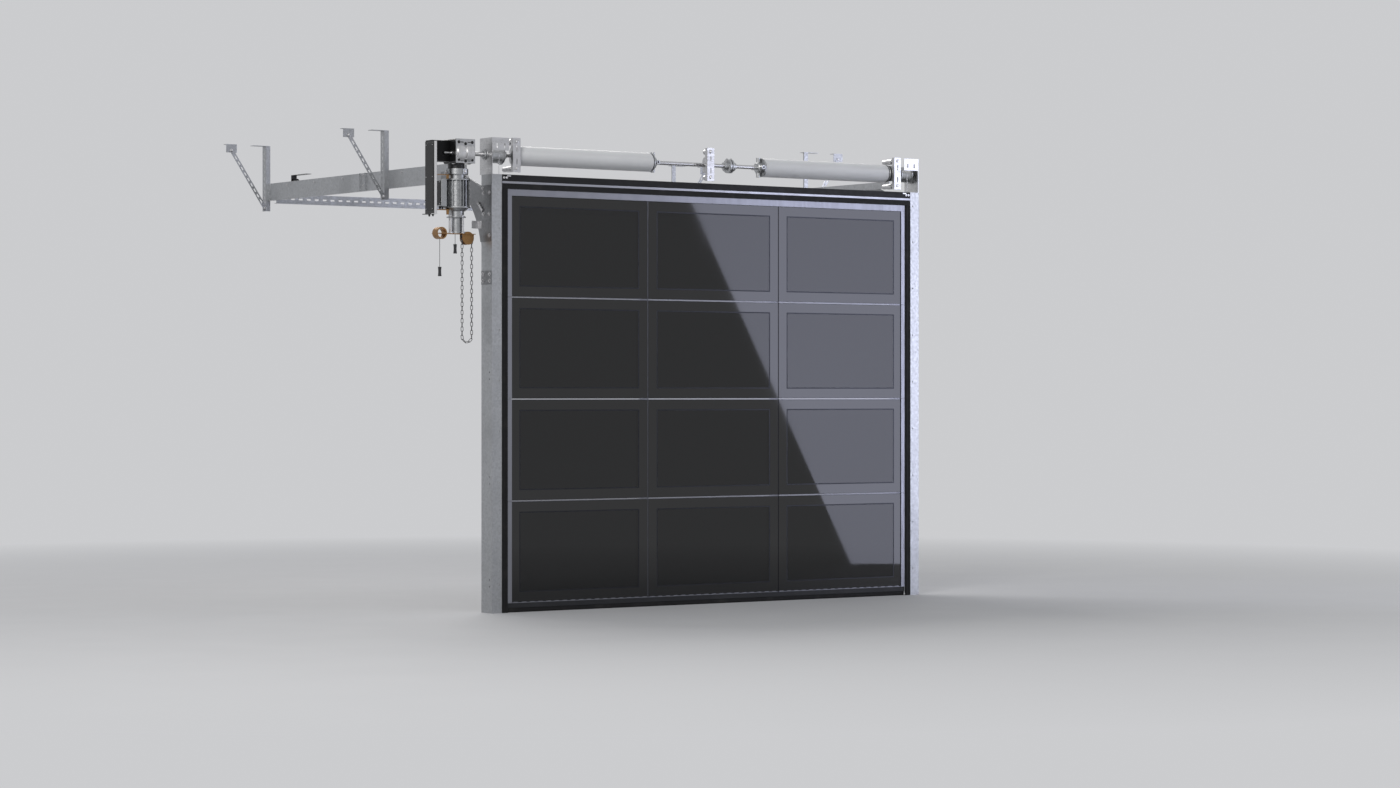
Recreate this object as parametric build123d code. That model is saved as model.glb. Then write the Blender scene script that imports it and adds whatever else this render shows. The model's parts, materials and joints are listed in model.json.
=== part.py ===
# Full-glass sectional overhead door, seen from outside, with its side frames, tracks,
# torsion-spring shaft and side-mounted shaft operator with a hand chain.
# Millimetres. +X runs along the door to the right, +Y back into the garage, +Z up.
# The origin is at the foot of the left side frame, on its wall face and its outer edge.
# The right side mirrors the left one about the middle of the door.

import os
from math import asin, degrees, hypot, sqrt

from build123d import *

# Overall size and side frames
overall_width = 3246.0
frame_depth = 120.0
flange_width = 70.0
frame_sheet = 2.5
fixing_hole_radius = 4.5
fixing_hole_count = 8
fixing_hole_first = 173.0
fixing_hole_last_gap = 232.0
fixing_hole_drop = 90.0
fixing_hole_inset = 50.0
leg_hole_levels = (178.0, 790.0, 1415.0)
leg_hole_spacing = 42.0
leg_hole_depth = 27.0

# Leaf: rows of sections, each with a row of panes
section_count = 4
pane_columns = 3
section_height = 610.0
glass_foot = 55.6
leaf_face = 10.0
leaf_clearance = 2.1
leaf_overlap = 20.5
seam_gap = 2.0
glass_thickness = 6.0
section_depth = 36.0
stile_width = 62.0
rail_width = 56.0
frame_bevel = 2.5
bead_width = 7.0
bead_setback = 0.8
bead_clearance = 0.5
seam_strip_height = 3.0
edge_trim_width = 30.0
edge_trim_proud = 6.0
bottom_rail_height = 30.0
bottom_rail_chamfer = 3.0
bottom_seal_inset = 5.0
bottom_lip_radius = 8.0

# Seals, trims and header
side_seal_width = 40.0
seal_front = 4.0
seal_back = 8.0
seal_rib = 6.0
joint_gap = 0.4
head_lap = 4.6
head_trim_height = 39.0
head_seal_height = 32.0
header_depth = 60.0
header_edge_height = 16.0
header_edge_proud = 3.0
header_edge_round = 2.4
header_front_height = 38.0
header_slot_pitch = 100.0
header_slot_length = 52.0
header_slot_width = 10.0

# Tracks
track_height = 68.0
track_width = 28.0
track_sheet = 2.5
track_lip = 15.0
track_centre_depth = 84.0
track_radius = 508.0
track_rise = 10.5
track_rear = 2838.0
track_foot = 8.0
angle_height = 45.0
angle_sheet = 3.0
angle_lead = 292.0

# Plates on the side frames
flag_sheet = 3.0
flag_foot_rise = 96.5
flag_front_drop = 109.5
flag_front_length = 117.0
flag_slope_lead = 188.0
joint_plate_height = 83.0
joint_plate_drop = 118.5
joint_plate_length = 116.0
plate_hole_radius = 4.5

# Shaft line
shaft_depth = 86.0
shaft_rise = 120.0
shaft_radius = 12.7
running_gap = 0.05
hole_clearance = 3.0
shaft_stub = 51.0
shaft_stub_step = 8.0
shaft_right_overrun = 14.0

# Bearing plates
bearing_flange_width = 117.5
bearing_flange_rise = 22.0
bearing_flange_height = 76.0
bearing_slot_width = 10.0
bearing_slot_length = 28.0
bearing_slot_drop = 9.0
bearing_slot_shares = (0.3, 0.75)
bearing_plate_reach = 56.0
bearing_foot_front = 43.0
bearing_foot_height = 94.0
bearing_sheet = 3.0
bearing_radius = 26.0
bearing_flange = 8.0
bearing_length = 14.0

# Spring brackets
bracket_width = 53.0
bracket_height = 205.0
bracket_under_shaft = 104.0
bracket_start = 148.0
centre_bracket_offset = 31.0
bracket_sheet = 4.0
bracket_slot_length = 35.0
bracket_slot_width = 8.0
bracket_slot_offset = 39.0
anchor_half_height = 50.0
anchor_rear = 40.0
anchor_corner = 30.0
bush_length = 12.0
spacer_neck_radius = 12.0
spacer_radius = 19.0
spacer_cap_radius = 16.0
spacer_offset = 80.0
end_spacer_length = 140.0
centre_spacer_length = 60.0

# Springs and cones
spring_radius = 59.0
spring_wire = 7.0
spring_set = 14.0
spring_clearance = 3.0
left_spring_gap = 434.0
right_spring_gap = 419.0
cone_gap = 0.4
cone_entry = 50.0
cone_taper = 6.0
cone_flange = 8.0
stationary_neck = 36.0
winding_cone_length = 40.0
winding_cone_neck = 34.0
winding_socket_radius = 13.0
winding_socket_bore = 6.5
winding_socket_reach = 62.0
winding_socket_depth = 20.0

# Cable drums
drum_start = 25.0
drum_width = 90.0
drum_rim_radius = 58.0
drum_rim_width = 4.0
drum_barrel_radius = 50.0
drum_groove_depth = 1.5
drum_groove_count = 11
drum_hub_length = 28.0
drum_hub_radius = 24.0
drum_cone_radius = 44.0
cable_radius = 2.0
cable_gap = 0.3
cable_place = 45.0
cable_clearance = 12.0

# Coupling
coupling_offset = 168.0
coupling_flange_radius = 44.0
coupling_flange_width = 12.0
coupling_gap = 6.0
coupling_hub_radius = 26.0
coupling_hub_taper = 4.0
coupling_hub_length = 30.0
coupling_bolt_radius = 5.0
coupling_bolt_circle = 36.0
coupling_bolt_overrun = 7.0

# Rollers, hinges and corner brackets
roller_clearance = 3.5
roller_width = 14.0
roller_groove_width = 4.0
roller_groove_depth = 2.0
roller_stem_radius = 5.5
stem_gap = 0.1
stem_overrun = 2.0
hinge_inset = 4.0
hinge_plate_width = 64.0
hinge_plate_height = 120.0
hinge_sheet = 3.0
hinge_ear_height = 38.0
ear_inset = 12.0
ear_flare = 16.0
ear_reach = 14.0
centre_hinge_width = 60.0
centre_hinge_knuckle = 8.0
bottom_roller_level = 100.0
top_roller_rise = 281.5
corner_plate_height = 130.0
bottom_ear_height = 68.0
cable_pin_level = 78.0
cable_pin_radius = 6.0
cable_pin_overrun = 18.0
top_arm_height = 40.0
top_plate_drop = 14.0

# Hangers, braces, rear rail and end stops
ceiling_rise = 339.0
hanger_width = 31.5
hanger_leg = 50.0
hanger_sheet = 3.0
hanger_drop = 105.5
hanger_flange = 90.0
front_hanger_depth = 1242.0
rear_hanger_inset = 3.0
hanger_slot_pitch = 42.0
brace_width = 26.0
brace_reach = 294.0
brace_foot_width = 77.0
brace_foot_height = 55.0
brace_foot_flange = 40.0
brace_top_drop = 41.0
brace_end_lap = 4.0
brace_end_rise = 19.0
brace_slot_pitch = 42.0
brace_slot_length = 24.0
brace_slot_width = 9.0
rail_height = 62.0
rail_drop = 52.5
rail_depth = 30.0
rail_sheet = 2.5
rail_inset = 38.0
rail_slot_pitch = 60.0
rail_slot_length = 30.0
rail_slot_width = 11.0
stop_inset = 292.0
stop_length = 206.0
stop_height = 82.0
stop_sheet = 3.0
stop_width = 40.0
buffer_radius = 16.0
buffer_length = 46.0
clamp_start = 1528.0
clamp_length = 70.0
clamp_flange = 14.0

# Shaft operator, from the shaft's axis and the left side frame
gearbox_gap = 94.0
gearbox_width = 132.0
gearbox_before_shaft = 44.0
gearbox_behind_shaft = 95.0
gearbox_under_shaft = 61.0
gearbox_over_shaft = 83.0
gearbox_corner = 10.0
cover_sheet = 6.0
cover_barrel_radius = 57.5
cover_barrel_gap = 8.0
cover_margin = 5.0
cover_screw_radius = 5.0
cover_screw_height = 3.0
cover_screw_inset = 20.0
side_housing_length = 127.0
side_housing_before_shaft = -15.0
side_housing_behind_shaft = 88.0
side_housing_margin = 10.0
control_width = 22.0
control_before_shaft = 48.0
control_depth = 107.0
control_height = 428.0
control_drop = 20.0
control_flange = 18.0
control_flange_sheet = 4.0
control_corner = 4.0
motor_offset_x = 61.0
motor_offset_y = 50.0
motor_neck_radius = 50.0
motor_neck_length = 30.0
motor_flange_radius = 72.0
motor_flange_height = 34.0
motor_collar_radius = 54.0
motor_collar_length = 34.0
motor_core_radius = 64.0
motor_stator_length = 158.0
motor_fin_reach = 82.0
motor_fin_count = 24
motor_fin_width = 5.0
motor_bell_radius = 80.0
motor_bell_taper = 26.0
motor_bell_height = 26.0
motor_brake_radius = 46.0
motor_brake_length = 36.0
motor_tail_radius = 36.0
motor_tail_length = 96.0
terminal_width = 44.0
terminal_depth = 72.0
terminal_corner = 6.0
bracket_plate = 4.0
guide_plate_left = 150.0
guide_plate_right = 116.0
guide_plate_depth = 64.0
guide_drum_radius = 36.0
guide_drum_wall = 8.0
guide_drum_inset = 6.0
chain_wheel_radius = 33.0
chain_wheel_offset = 73.0
chain_wheel_width = 26.0
chain_radius = 7.0
chain_drop = 586.0
wheel_drop = 22.0
guard_margin = 6.0
chain_slot_gap = 3.0

# Pull cords and their handles
cord_radius = 1.5
long_cord_drop = 196.0
short_cord_drop = 59.0
short_cord_offset = 8.0
handle_length = 56.0
handle_width = 22.0
handle_depth = 10.0
handle_corner = 4.0

# Places of the leaf and the header
door_centre = overall_width / 2
trim_start = flange_width + side_seal_width
leaf_left = trim_start + leaf_clearance
leaf_right = overall_width - leaf_left
pane_pitch = (leaf_right - leaf_left - 2 * leaf_overlap) / pane_columns
pane_field = leaf_left + leaf_overlap
leaf_top = glass_foot + section_count * section_height
frame_face = leaf_face + glass_thickness
frame_back = frame_face + section_depth
head_trim_foot = leaf_top - head_lap
head_seal_foot = head_trim_foot + head_trim_height
header_foot = head_seal_foot + head_seal_height
frame_height = header_foot + header_edge_height + header_front_height
fixing_hole_top = frame_height - fixing_hole_drop

# Places of the tracks, hangers and rear rail
track_left = frame_sheet
track_right = frame_sheet + track_width
track_middle = frame_sheet + track_width / 2
track_level = frame_height + track_rise
track_top = track_level + track_height / 2
curve_foot = track_level - track_radius
curve_end = track_centre_depth + track_radius
flag_foot = curve_foot + flag_foot_rise
flag_front_top = track_top - flag_front_drop
flag_slope_end = curve_end - flag_slope_lead
joint_plate_level = curve_foot - joint_plate_drop
ceiling_level = frame_height + ceiling_rise
hanger_foot = track_level - hanger_drop
hanger_depths = (front_hanger_depth, track_rear - rear_hanger_inset)
hanger_left = track_left - hanger_width
rail_foot = track_level - rail_drop
rail_front = track_rear - rail_inset
stop_rear = track_rear - stop_inset

# Places of the shaft, its drums and springs
shaft_level = frame_height + shaft_rise
bearing_end = frame_sheet + bearing_sheet
bracket_foot = shaft_level - bracket_under_shaft
bracket_leg = shaft_depth - spring_radius - spring_clearance
bracket_end = bracket_start + bracket_width
centre_bracket_start = door_centre - centre_bracket_offset - bracket_width / 2
spring_start = bracket_end + spring_set
left_spring_end = door_centre - left_spring_gap
right_spring_end = door_centre - right_spring_gap
coupling_middle = door_centre + coupling_offset
cable_x = drum_start + cable_place
cable_y = shaft_depth - drum_barrel_radius - cable_gap - cable_radius
shaft_right_end = overall_width + shaft_right_overrun

# Places of the hinges and rollers
hinge_left = leaf_left + hinge_inset
hinge_right = hinge_left + hinge_plate_width
hinge_back = frame_back + hinge_sheet
far_ear = hinge_right - hinge_sheet - ear_inset
stem_end = far_ear + hinge_sheet + stem_overrun
roller_radius = track_height / 2 - track_sheet - roller_clearance
top_roller_level = curve_foot + top_roller_rise

# Places of the operator, from the gearbox down to the chain
gearbox_right = -gearbox_gap
gearbox_left = gearbox_right - gearbox_width
gearbox_front = shaft_depth - gearbox_before_shaft
gearbox_rear = shaft_depth + gearbox_behind_shaft
gearbox_foot = shaft_level - gearbox_under_shaft
gearbox_top = shaft_level + gearbox_over_shaft
shaft_left_end = gearbox_left - shaft_stub
control_right = gearbox_left - side_housing_length
control_left = control_right - control_width
control_front = shaft_depth - control_before_shaft
control_rear = control_front + control_depth
control_top = gearbox_top - control_drop
control_foot = control_top - control_height
motor_x = gearbox_left + motor_offset_x
motor_y = shaft_depth + motor_offset_y
motor_flange_top = gearbox_foot - motor_neck_length
motor_flange_foot = motor_flange_top - motor_flange_height
motor_stator_top = motor_flange_foot - motor_collar_length
motor_stator_foot = motor_stator_top - motor_stator_length
motor_bell_foot = motor_stator_foot - motor_bell_height
motor_brake_foot = motor_bell_foot - motor_brake_length
motor_foot = motor_brake_foot - motor_tail_length
motor_plate_level = motor_foot - bracket_plate
guide_x = motor_x - guide_plate_left + guide_drum_radius
chain_wheel_x = motor_x + chain_wheel_offset
chain_wheel_level = motor_plate_level - wheel_drop
chain_foot = chain_wheel_level - chain_drop
short_cord_x = motor_x - short_cord_offset


def block(x0, x1, y0, y1, z0, z1):
    """A box between two corners."""
    return Pos((x0 + x1) / 2, (y0 + y1) / 2, (z0 + z1) / 2) * Box(x1 - x0, y1 - y0, z1 - z0)


def rod_x(x0, x1, y, z, radius):
    """A round bar along X."""
    return Pos((x0 + x1) / 2, y, z) * Rot(0, 90, 0) * Cylinder(radius, x1 - x0)


def rod_y(x, y0, y1, z, radius):
    """A round bar along Y."""
    return Pos(x, (y0 + y1) / 2, z) * Rot(90, 0, 0) * Cylinder(radius, y1 - y0)


def rod_z(x, y, z0, z1, radius):
    """A round bar along Z."""
    return Pos(x, y, (z0 + z1) / 2) * Cylinder(radius, z1 - z0)


def side_plate(points, x0, thickness):
    """A plate across the door's length, from an outline of (y, z) points."""
    face = make_face(Polyline(*points, close=True))
    return extrude(Plane.YZ.offset(x0) * face, thickness)


def turned(points):
    """A solid turned about the shaft's axis, from an outline of (x, radius) points."""
    plane = Plane(origin=(0, shaft_depth, shaft_level), x_dir=(1, 0, 0), z_dir=(0, -1, 0))
    face = make_face(Polyline(*points, close=True))
    return revolve(plane * face, Axis((0, shaft_depth, shaft_level), (1, 0, 0)), 360)


def shaft_bore(x0, x1, clearance):
    """The space that the shaft takes between two places, with a clearance round it."""
    return rod_x(x0, x1, shaft_depth, shaft_level, shaft_radius + clearance)


def across(shape):
    """The same piece mirrored to the other side of the door."""
    return mirror(shape, about=Plane.YZ.offset(door_centre))


def both(*shapes):
    """Pieces and their mirror images, as separate solids of one node."""
    return Compound([*shapes, *(across(shape) for shape in shapes)])


def save(shape, name):
    export_step(shape, f"parts/{name}.step")


# Side frames


def side_frame():
    """Angle of sheet steel: a wall flange with fixing holes and a return leg for the track."""
    flange = block(0, flange_width, 0, frame_sheet, 0, frame_height)
    leg = block(0, frame_sheet, 0, frame_depth, 0, frame_height)
    angle = flange + leg
    pitch = (fixing_hole_top - fixing_hole_last_gap - fixing_hole_first) / (fixing_hole_count - 1)
    levels = [fixing_hole_first + number * pitch for number in range(fixing_hole_count)]
    for level in (*levels, fixing_hole_top):
        angle -= rod_y(fixing_hole_inset, -1, frame_sheet + 1, level, fixing_hole_radius)
    for level in leg_hole_levels:
        for step in (-leg_hole_spacing / 2, leg_hole_spacing / 2):
            angle -= rod_x(-1, frame_sheet + 1, leg_hole_depth, level + step, plate_hole_radius)
    return angle


def joint_plate():
    """Fish plate with two rows of holes on the outside of the return leg."""
    middle = frame_depth / 2
    low = joint_plate_level - joint_plate_height / 2
    high = joint_plate_level + joint_plate_height / 2
    plate = block(-flag_sheet, 0, middle - joint_plate_length / 2, middle + joint_plate_length / 2, low, high)
    for level in (low + joint_plate_height / 4, high - joint_plate_height / 4):
        for step in (-joint_plate_length / 3, 0, joint_plate_length / 3):
            plate -= rod_x(-flag_sheet - 1, 1, middle + step, level, plate_hole_radius)
    return plate


def flag_plate():
    """Plate that joins the curved track to the side frame; its rear edge follows the curve."""
    inner_radius = track_radius - track_height / 2
    sweep = 90 - degrees(asin((flag_foot - curve_foot) / inner_radius))
    arc = CenterArc((curve_end, curve_foot), inner_radius, 90, sweep)
    edge = Polyline(
        arc @ 1,
        (0, flag_foot),
        (0, flag_front_top),
        (flag_front_length, flag_front_top),
        (flag_slope_end, track_top),
        (curve_end, track_top),
        arc @ 0,
    )
    return extrude(Plane.YZ.offset(-flag_sheet) * make_face(arc + edge), flag_sheet)


# Seals, trims and header


def side_seal():
    """Rubber strip that closes the gap between flange and leaf, with two ribs on its face."""
    top = head_seal_foot - joint_gap
    body = block(flange_width, trim_start, -seal_front / 2, seal_back, 0, top)
    for place in (flange_width + side_seal_width / 4, trim_start - side_seal_width / 4):
        body += block(place - seal_rib / 2, place + seal_rib / 2, -seal_front, 0, 0, top)
    return body


def head_seal():
    """Rubber strip between the leaf's top edge and the header."""
    end = overall_width - trim_start
    return block(trim_start, end, -seal_front / 2, seal_back, head_seal_foot, header_foot)


def header_edge():
    """Light rounded edge along the header's foot."""
    end = overall_width - flange_width
    top = header_foot + header_edge_height
    edge = block(flange_width, end, -header_edge_proud, frame_sheet, header_foot, top)
    front = edge.edges().filter_by(Axis.X).group_by(Axis.Y)[0]
    return fillet(front, header_edge_round)


def header_beam():
    """Dark channel over the leaf, with a row of slots along its top flange."""
    low = header_foot + header_edge_height
    start = flange_width
    end = overall_width - flange_width
    inner = cable_x + cable_clearance
    outer = overall_width - inner
    beam = block(start, end, 0, frame_sheet, low, frame_height)
    beam += block(inner, outer, 0, header_depth, frame_height - frame_sheet, frame_height)
    beam += block(inner, outer, 0, header_depth, low, low + frame_sheet)
    count = int((outer - inner) / header_slot_pitch) - 1
    for number in range(count):
        x = door_centre + (number - (count - 1) / 2) * header_slot_pitch
        beam -= block(
            x - header_slot_length / 2,
            x + header_slot_length / 2,
            header_depth / 2 - header_slot_width / 2,
            header_depth / 2 + header_slot_width / 2,
            frame_height - frame_sheet - 1,
            frame_height + 1,
        )
    return beam


# Leaf


def section_levels(row):
    """Foot and top of one section, between half gaps; the top one reaches up to the head seal."""
    low = glass_foot + row * section_height + seam_gap / 2
    if row == section_count - 1:
        return low, head_seal_foot - joint_gap
    return low, low + section_height - seam_gap


def pane_levels(row):
    """Foot and top of one row of glass, between its light strips."""
    low, high = section_levels(row)
    if row == section_count - 1:
        high = head_trim_foot + seam_strip_height
    return low + seam_strip_height + joint_gap, high - seam_strip_height - joint_gap


def pane_start(column):
    return pane_field + column * pane_pitch


def pane_sides(column):
    """Left and right edge of one pane's glass, between beads or edge trims."""
    half = bead_width / 2 + bead_clearance
    left = pane_start(column) + half
    right = pane_start(column + 1) - half
    if column == 0:
        left = leaf_left + edge_trim_width + bead_clearance
    if column == pane_columns - 1:
        right = leaf_right - edge_trim_width - bead_clearance
    return left, right


def frame_bar(x0, x1, z0, z1, axis):
    """Rail or stile of a section, with the two edges at its back bevelled."""
    bar = block(x0, x1, frame_face, frame_back, z0, z1)
    return chamfer(bar.edges().filter_by(axis).group_by(Axis.Y)[-1], frame_bevel)


def section_frame(row):
    """One section's two rails, and the stiles between them behind the sides of its panes."""
    low, high = section_levels(row)
    glass_low, glass_high = pane_levels(row)
    cover = rail_width - joint_gap - seam_strip_height
    rail_top = glass_low + cover
    rail_foot_level = glass_high - cover
    bars = [
        frame_bar(leaf_left, leaf_right, low, rail_top, Axis.X),
        frame_bar(leaf_left, leaf_right, rail_foot_level, high, Axis.X),
    ]
    for column in range(pane_columns + 1):
        place = pane_start(column)
        left = leaf_left if column == 0 else place - stile_width
        right = leaf_right if column == pane_columns else place + stile_width
        bars.append(frame_bar(left, right, rail_top + joint_gap, rail_foot_level - joint_gap, Axis.Z))
    return Compound(bars)


def section_glass(row):
    """Panes that cover the section's frame from outside."""
    low, high = pane_levels(row)
    panes = []
    for column in range(pane_columns):
        left, right = pane_sides(column)
        panes.append(block(left, right, leaf_face, frame_face, low, high))
    return Compound(panes)


def pane_beads(row):
    """Light strips along one section's seams, and the beads between its panes."""
    low, high = section_levels(row)
    glass_low, glass_high = pane_levels(row)
    face = leaf_face + bead_setback
    left = leaf_left + edge_trim_width
    right = leaf_right - edge_trim_width
    bars = [block(left, right, face, frame_face, low, glass_low - joint_gap)]
    if row < section_count - 1:
        bars.append(block(left, right, face, frame_face, glass_high + joint_gap, high))
    for column in range(1, pane_columns):
        x = pane_start(column)
        bars.append(block(x - bead_width / 2, x + bead_width / 2, face, frame_face, glass_low, glass_high))
    return bars


def edge_trim(row):
    """Light strip down the side edge of one section, in front of its frame."""
    low, high = section_levels(row)
    if row == section_count - 1:
        high = head_trim_foot
    front = leaf_face - edge_trim_proud
    right = leaf_left + edge_trim_width
    return block(leaf_left, right, front, frame_face, low, high)


def head_trim():
    """Light strip across the top of the leaf, in front of its frame."""
    front = leaf_face - edge_trim_proud
    high = head_seal_foot - joint_gap
    return block(leaf_left, leaf_right, front, frame_face, head_trim_foot + joint_gap, high)


def bottom_rail():
    """Rail under the lowest section, with a groove for the seal."""
    low = glass_foot - bottom_rail_height
    rail = block(leaf_left, leaf_right, leaf_face, frame_back, low, glass_foot + seam_gap / 2)
    front = rail.edges().filter_by(Axis.X).group_by(Axis.Z)[0]
    return chamfer(front, bottom_rail_chamfer)


def bottom_seal():
    """Rubber seal that meets the floor, rounded underneath."""
    top = glass_foot - bottom_rail_height
    front = leaf_face + bottom_seal_inset
    seal = block(leaf_left, leaf_right, front, frame_back - bottom_seal_inset, 0, top)
    foot = seal.edges().filter_by(Axis.X).group_by(Axis.Z)[0]
    return fillet(foot, bottom_lip_radius)


# Tracks


def track_profile():
    """Channel section of a track, its opening towards the leaf."""
    half = track_height / 2
    outline = Rectangle(track_width, track_height)
    hollow = Pos(track_sheet / 2, 0) * Rectangle(track_width - track_sheet, track_height - 2 * track_sheet)
    lip_x = track_width / 2 - track_sheet / 2
    upper_lip = Pos(lip_x, half - track_lip / 2) * Rectangle(track_sheet, track_lip)
    lower_lip = Pos(lip_x, track_lip / 2 - half) * Rectangle(track_sheet, track_lip)
    return outline - hollow + upper_lip + lower_lip


def vertical_track():
    plane = Plane(origin=(track_middle, track_centre_depth, track_foot), x_dir=(1, 0, 0), z_dir=(0, 0, 1))
    return extrude(plane * track_profile(), curve_foot - track_foot)


def curved_track():
    plane = Plane(origin=(track_middle, track_centre_depth, curve_foot), x_dir=(1, 0, 0), z_dir=(0, 0, 1))
    centre = Axis((0, curve_end, curve_foot), (-1, 0, 0))
    return revolve(plane * track_profile(), centre, 90)


def horizontal_track():
    plane = Plane(origin=(track_middle, curve_end, track_level), x_dir=(1, 0, 0), z_dir=(0, 1, 0))
    return extrude(plane * track_profile(), track_rear - curve_end)


def track_angle():
    """Angle along the top of the horizontal track that keeps it straight."""
    start = curve_end - angle_lead
    side = track_left + angle_sheet
    flat = block(track_left, track_right, curve_end, track_rear, track_top, track_top + angle_sheet)
    return flat + block(track_left, side, start, track_rear, track_top, track_top + angle_height)


def track_clamp():
    """Channel-shaped clamp on the outside of the horizontal track."""
    start = clamp_start
    end = clamp_start + clamp_length
    low = track_level - track_height / 2
    high = track_top + angle_height
    web = block(track_left - angle_sheet, track_left, start, end, low, high)
    near = block(track_left - clamp_flange, track_left, start, start + angle_sheet, low, high)
    far = block(track_left - clamp_flange, track_left, end - angle_sheet, end, low, high)
    return web + near + far


def end_stop():
    """Bent bracket on the track with a rubber buffer facing the leaf."""
    foot = track_top + angle_sheet
    top = foot + stop_height
    left = track_left + angle_sheet
    right = left + stop_width
    roof = block(left, right, stop_rear - stop_length, stop_rear, top - stop_sheet, top)
    back = block(left, right, stop_rear - stop_sheet, stop_rear, foot, top)
    buffer_level = foot + stop_height / 2
    seat = stop_rear - stop_sheet
    buffer = rod_y((left + right) / 2, seat - buffer_length, seat, buffer_level, buffer_radius)
    return roof + back + buffer


# Hangers, braces and rear rail


def slots_along(count, pitch, length, width, thickness):
    """A row of slots along Z, centred on the origin, cut along Y."""
    slots = []
    for number in range(count):
        level = (number - (count - 1) / 2) * pitch
        slots.append(Pos(0, 0, level) * Box(width, thickness, length))
    return slots


def hanger(depth):
    """Angle from the ceiling to the track, with a bent flange at its top and slots in its leg."""
    right = track_left
    left = hanger_left
    face = block(left, right, depth, depth + hanger_sheet, hanger_foot, ceiling_level)
    rear = depth + hanger_leg
    leg = block(left, left + hanger_sheet, depth, rear, hanger_foot, ceiling_level)
    flange = block(left - hanger_flange, right, depth, rear, ceiling_level - hanger_sheet, ceiling_level)
    piece = face + leg + flange
    count = int((ceiling_level - hanger_foot) / hanger_slot_pitch) - 1
    middle = Pos(left + hanger_sheet / 2, depth + hanger_leg * 0.6, (ceiling_level + hanger_foot) / 2)
    for slot in slots_along(count, hanger_slot_pitch, brace_slot_length, brace_slot_width, hanger_sheet * 3):
        piece -= middle * Rot(0, 0, 90) * slot
    for step in (0.25, 0.75):
        x = left - hanger_flange * step
        below = ceiling_level - hanger_sheet - 1
        piece -= rod_z(x, depth + hanger_leg / 2, below, ceiling_level + 1, plate_hole_radius)
    return piece


def hanger_brace(depth):
    """Slotted strip from an outboard ceiling foot down to the hanger's lower end."""
    foot_left = hanger_left - brace_reach
    foot_right = foot_left + brace_foot_width
    front = depth - hanger_sheet
    foot = block(foot_left, foot_right, front, depth, ceiling_level - brace_foot_height, ceiling_level)
    foot += block(
        foot_left, foot_right, front, front + brace_foot_flange, ceiling_level - hanger_sheet, ceiling_level
    )
    top_x = (foot_left + foot_right) / 2
    end_x = hanger_left - brace_width / 2 + brace_end_lap
    top_level = ceiling_level - brace_top_drop
    end_level = hanger_foot + brace_end_rise
    run_x = end_x - top_x
    run_z = end_level - top_level
    length = hypot(run_x, run_z)
    strip = Box(brace_width, hanger_sheet, length)
    strip += Pos(0, 0, length / 2) * Rot(90, 0, 0) * Cylinder(brace_width / 2, hanger_sheet)
    strip += Pos(0, 0, -length / 2) * Rot(90, 0, 0) * Cylinder(brace_width / 2, hanger_sheet)
    count = int(length / brace_slot_pitch) - 1
    for slot in slots_along(count, brace_slot_pitch, brace_slot_length, brace_slot_width, hanger_sheet * 3):
        strip -= slot
    lean = degrees(asin(run_x / length))
    middle = Pos((top_x + end_x) / 2, front - hanger_sheet / 2, (top_level + end_level) / 2)
    placed = middle * Rot(0, -lean, 0) * strip
    seat = block(end_x - brace_width / 2, track_left - hanger_sheet, front, depth, hanger_foot, end_level)
    return foot + placed + seat


def rear_cross_rail():
    """Slotted channel that joins the rear ends of the two horizontal tracks."""
    start = track_right
    end = overall_width - track_right
    top = rail_foot + rail_height
    rail = block(start, end, rail_front, rail_front + rail_sheet, rail_foot, top)
    rail += block(start, end, rail_front, rail_front + rail_depth, top - rail_sheet, top)
    rail += block(start, end, rail_front, rail_front + rail_depth, rail_foot, rail_foot + rail_sheet)
    count = int((end - start) / rail_slot_pitch) - 1
    middle = rail_foot + rail_height / 2
    for number in range(count):
        x = door_centre + (number - (count - 1) / 2) * rail_slot_pitch
        rail -= block(
            x - rail_slot_length / 2,
            x + rail_slot_length / 2,
            rail_front - 1,
            rail_front + rail_sheet + 1,
            middle - rail_slot_width / 2,
            middle + rail_slot_width / 2,
        )
    return rail


# Rollers, hinges and corner brackets


def track_y(level):
    """Depth of the track's middle line at a height."""
    if level <= curve_foot:
        return track_centre_depth
    return curve_end - sqrt(track_radius**2 - (level - curve_foot) ** 2)


def roller_levels():
    """Heights of the rollers of one side: bottom corner, each seam, top corner."""
    seams = [glass_foot + row * section_height for row in range(1, section_count)]
    return [bottom_roller_level, *seams, top_roller_level]


def roller(level):
    """Wheel with a stem that runs back over the leaf's edge."""
    y = track_y(level)
    middle = track_middle
    half = roller_width / 2
    groove = roller_groove_width / 2
    wheel = rod_x(middle - half, middle + half, y, level, roller_radius)
    ring = rod_x(middle - groove, middle + groove, y, level, roller_radius + 1)
    ring -= rod_x(middle - half, middle + half, y, level, roller_radius - roller_groove_depth)
    stem = rod_x(middle, stem_end, y, level, roller_stem_radius)
    return wheel - ring + stem


def stem_hole(x0, x1, level):
    return rod_x(x0, x1, track_y(level), level, roller_stem_radius + stem_gap)


def hinge_ear(x, outline, level):
    """Upright ear with the hole that the roller's stem turns in."""
    return side_plate(outline, x, hinge_sheet) - stem_hole(x - 1, x + hinge_sheet + 1, level)


def end_hinge(level):
    """Hinge on the leaf's edge: two plates and two ears that hold the roller's stem."""
    tip = track_y(level) + ear_reach
    half = hinge_plate_height / 2
    ear_half = hinge_ear_height / 2
    outline = [
        (frame_back, level - ear_half - ear_flare),
        (tip, level - ear_half / 2),
        (tip, level + ear_half / 2),
        (frame_back, level + ear_half + ear_flare),
    ]
    hinge = block(hinge_left, hinge_right, frame_back, hinge_back, level - half, level - seam_gap)
    hinge += block(hinge_left, hinge_right, frame_back, hinge_back, level + seam_gap, level + half)
    for x in (hinge_left, far_ear):
        hinge += hinge_ear(x, outline, level)
    return hinge


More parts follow.
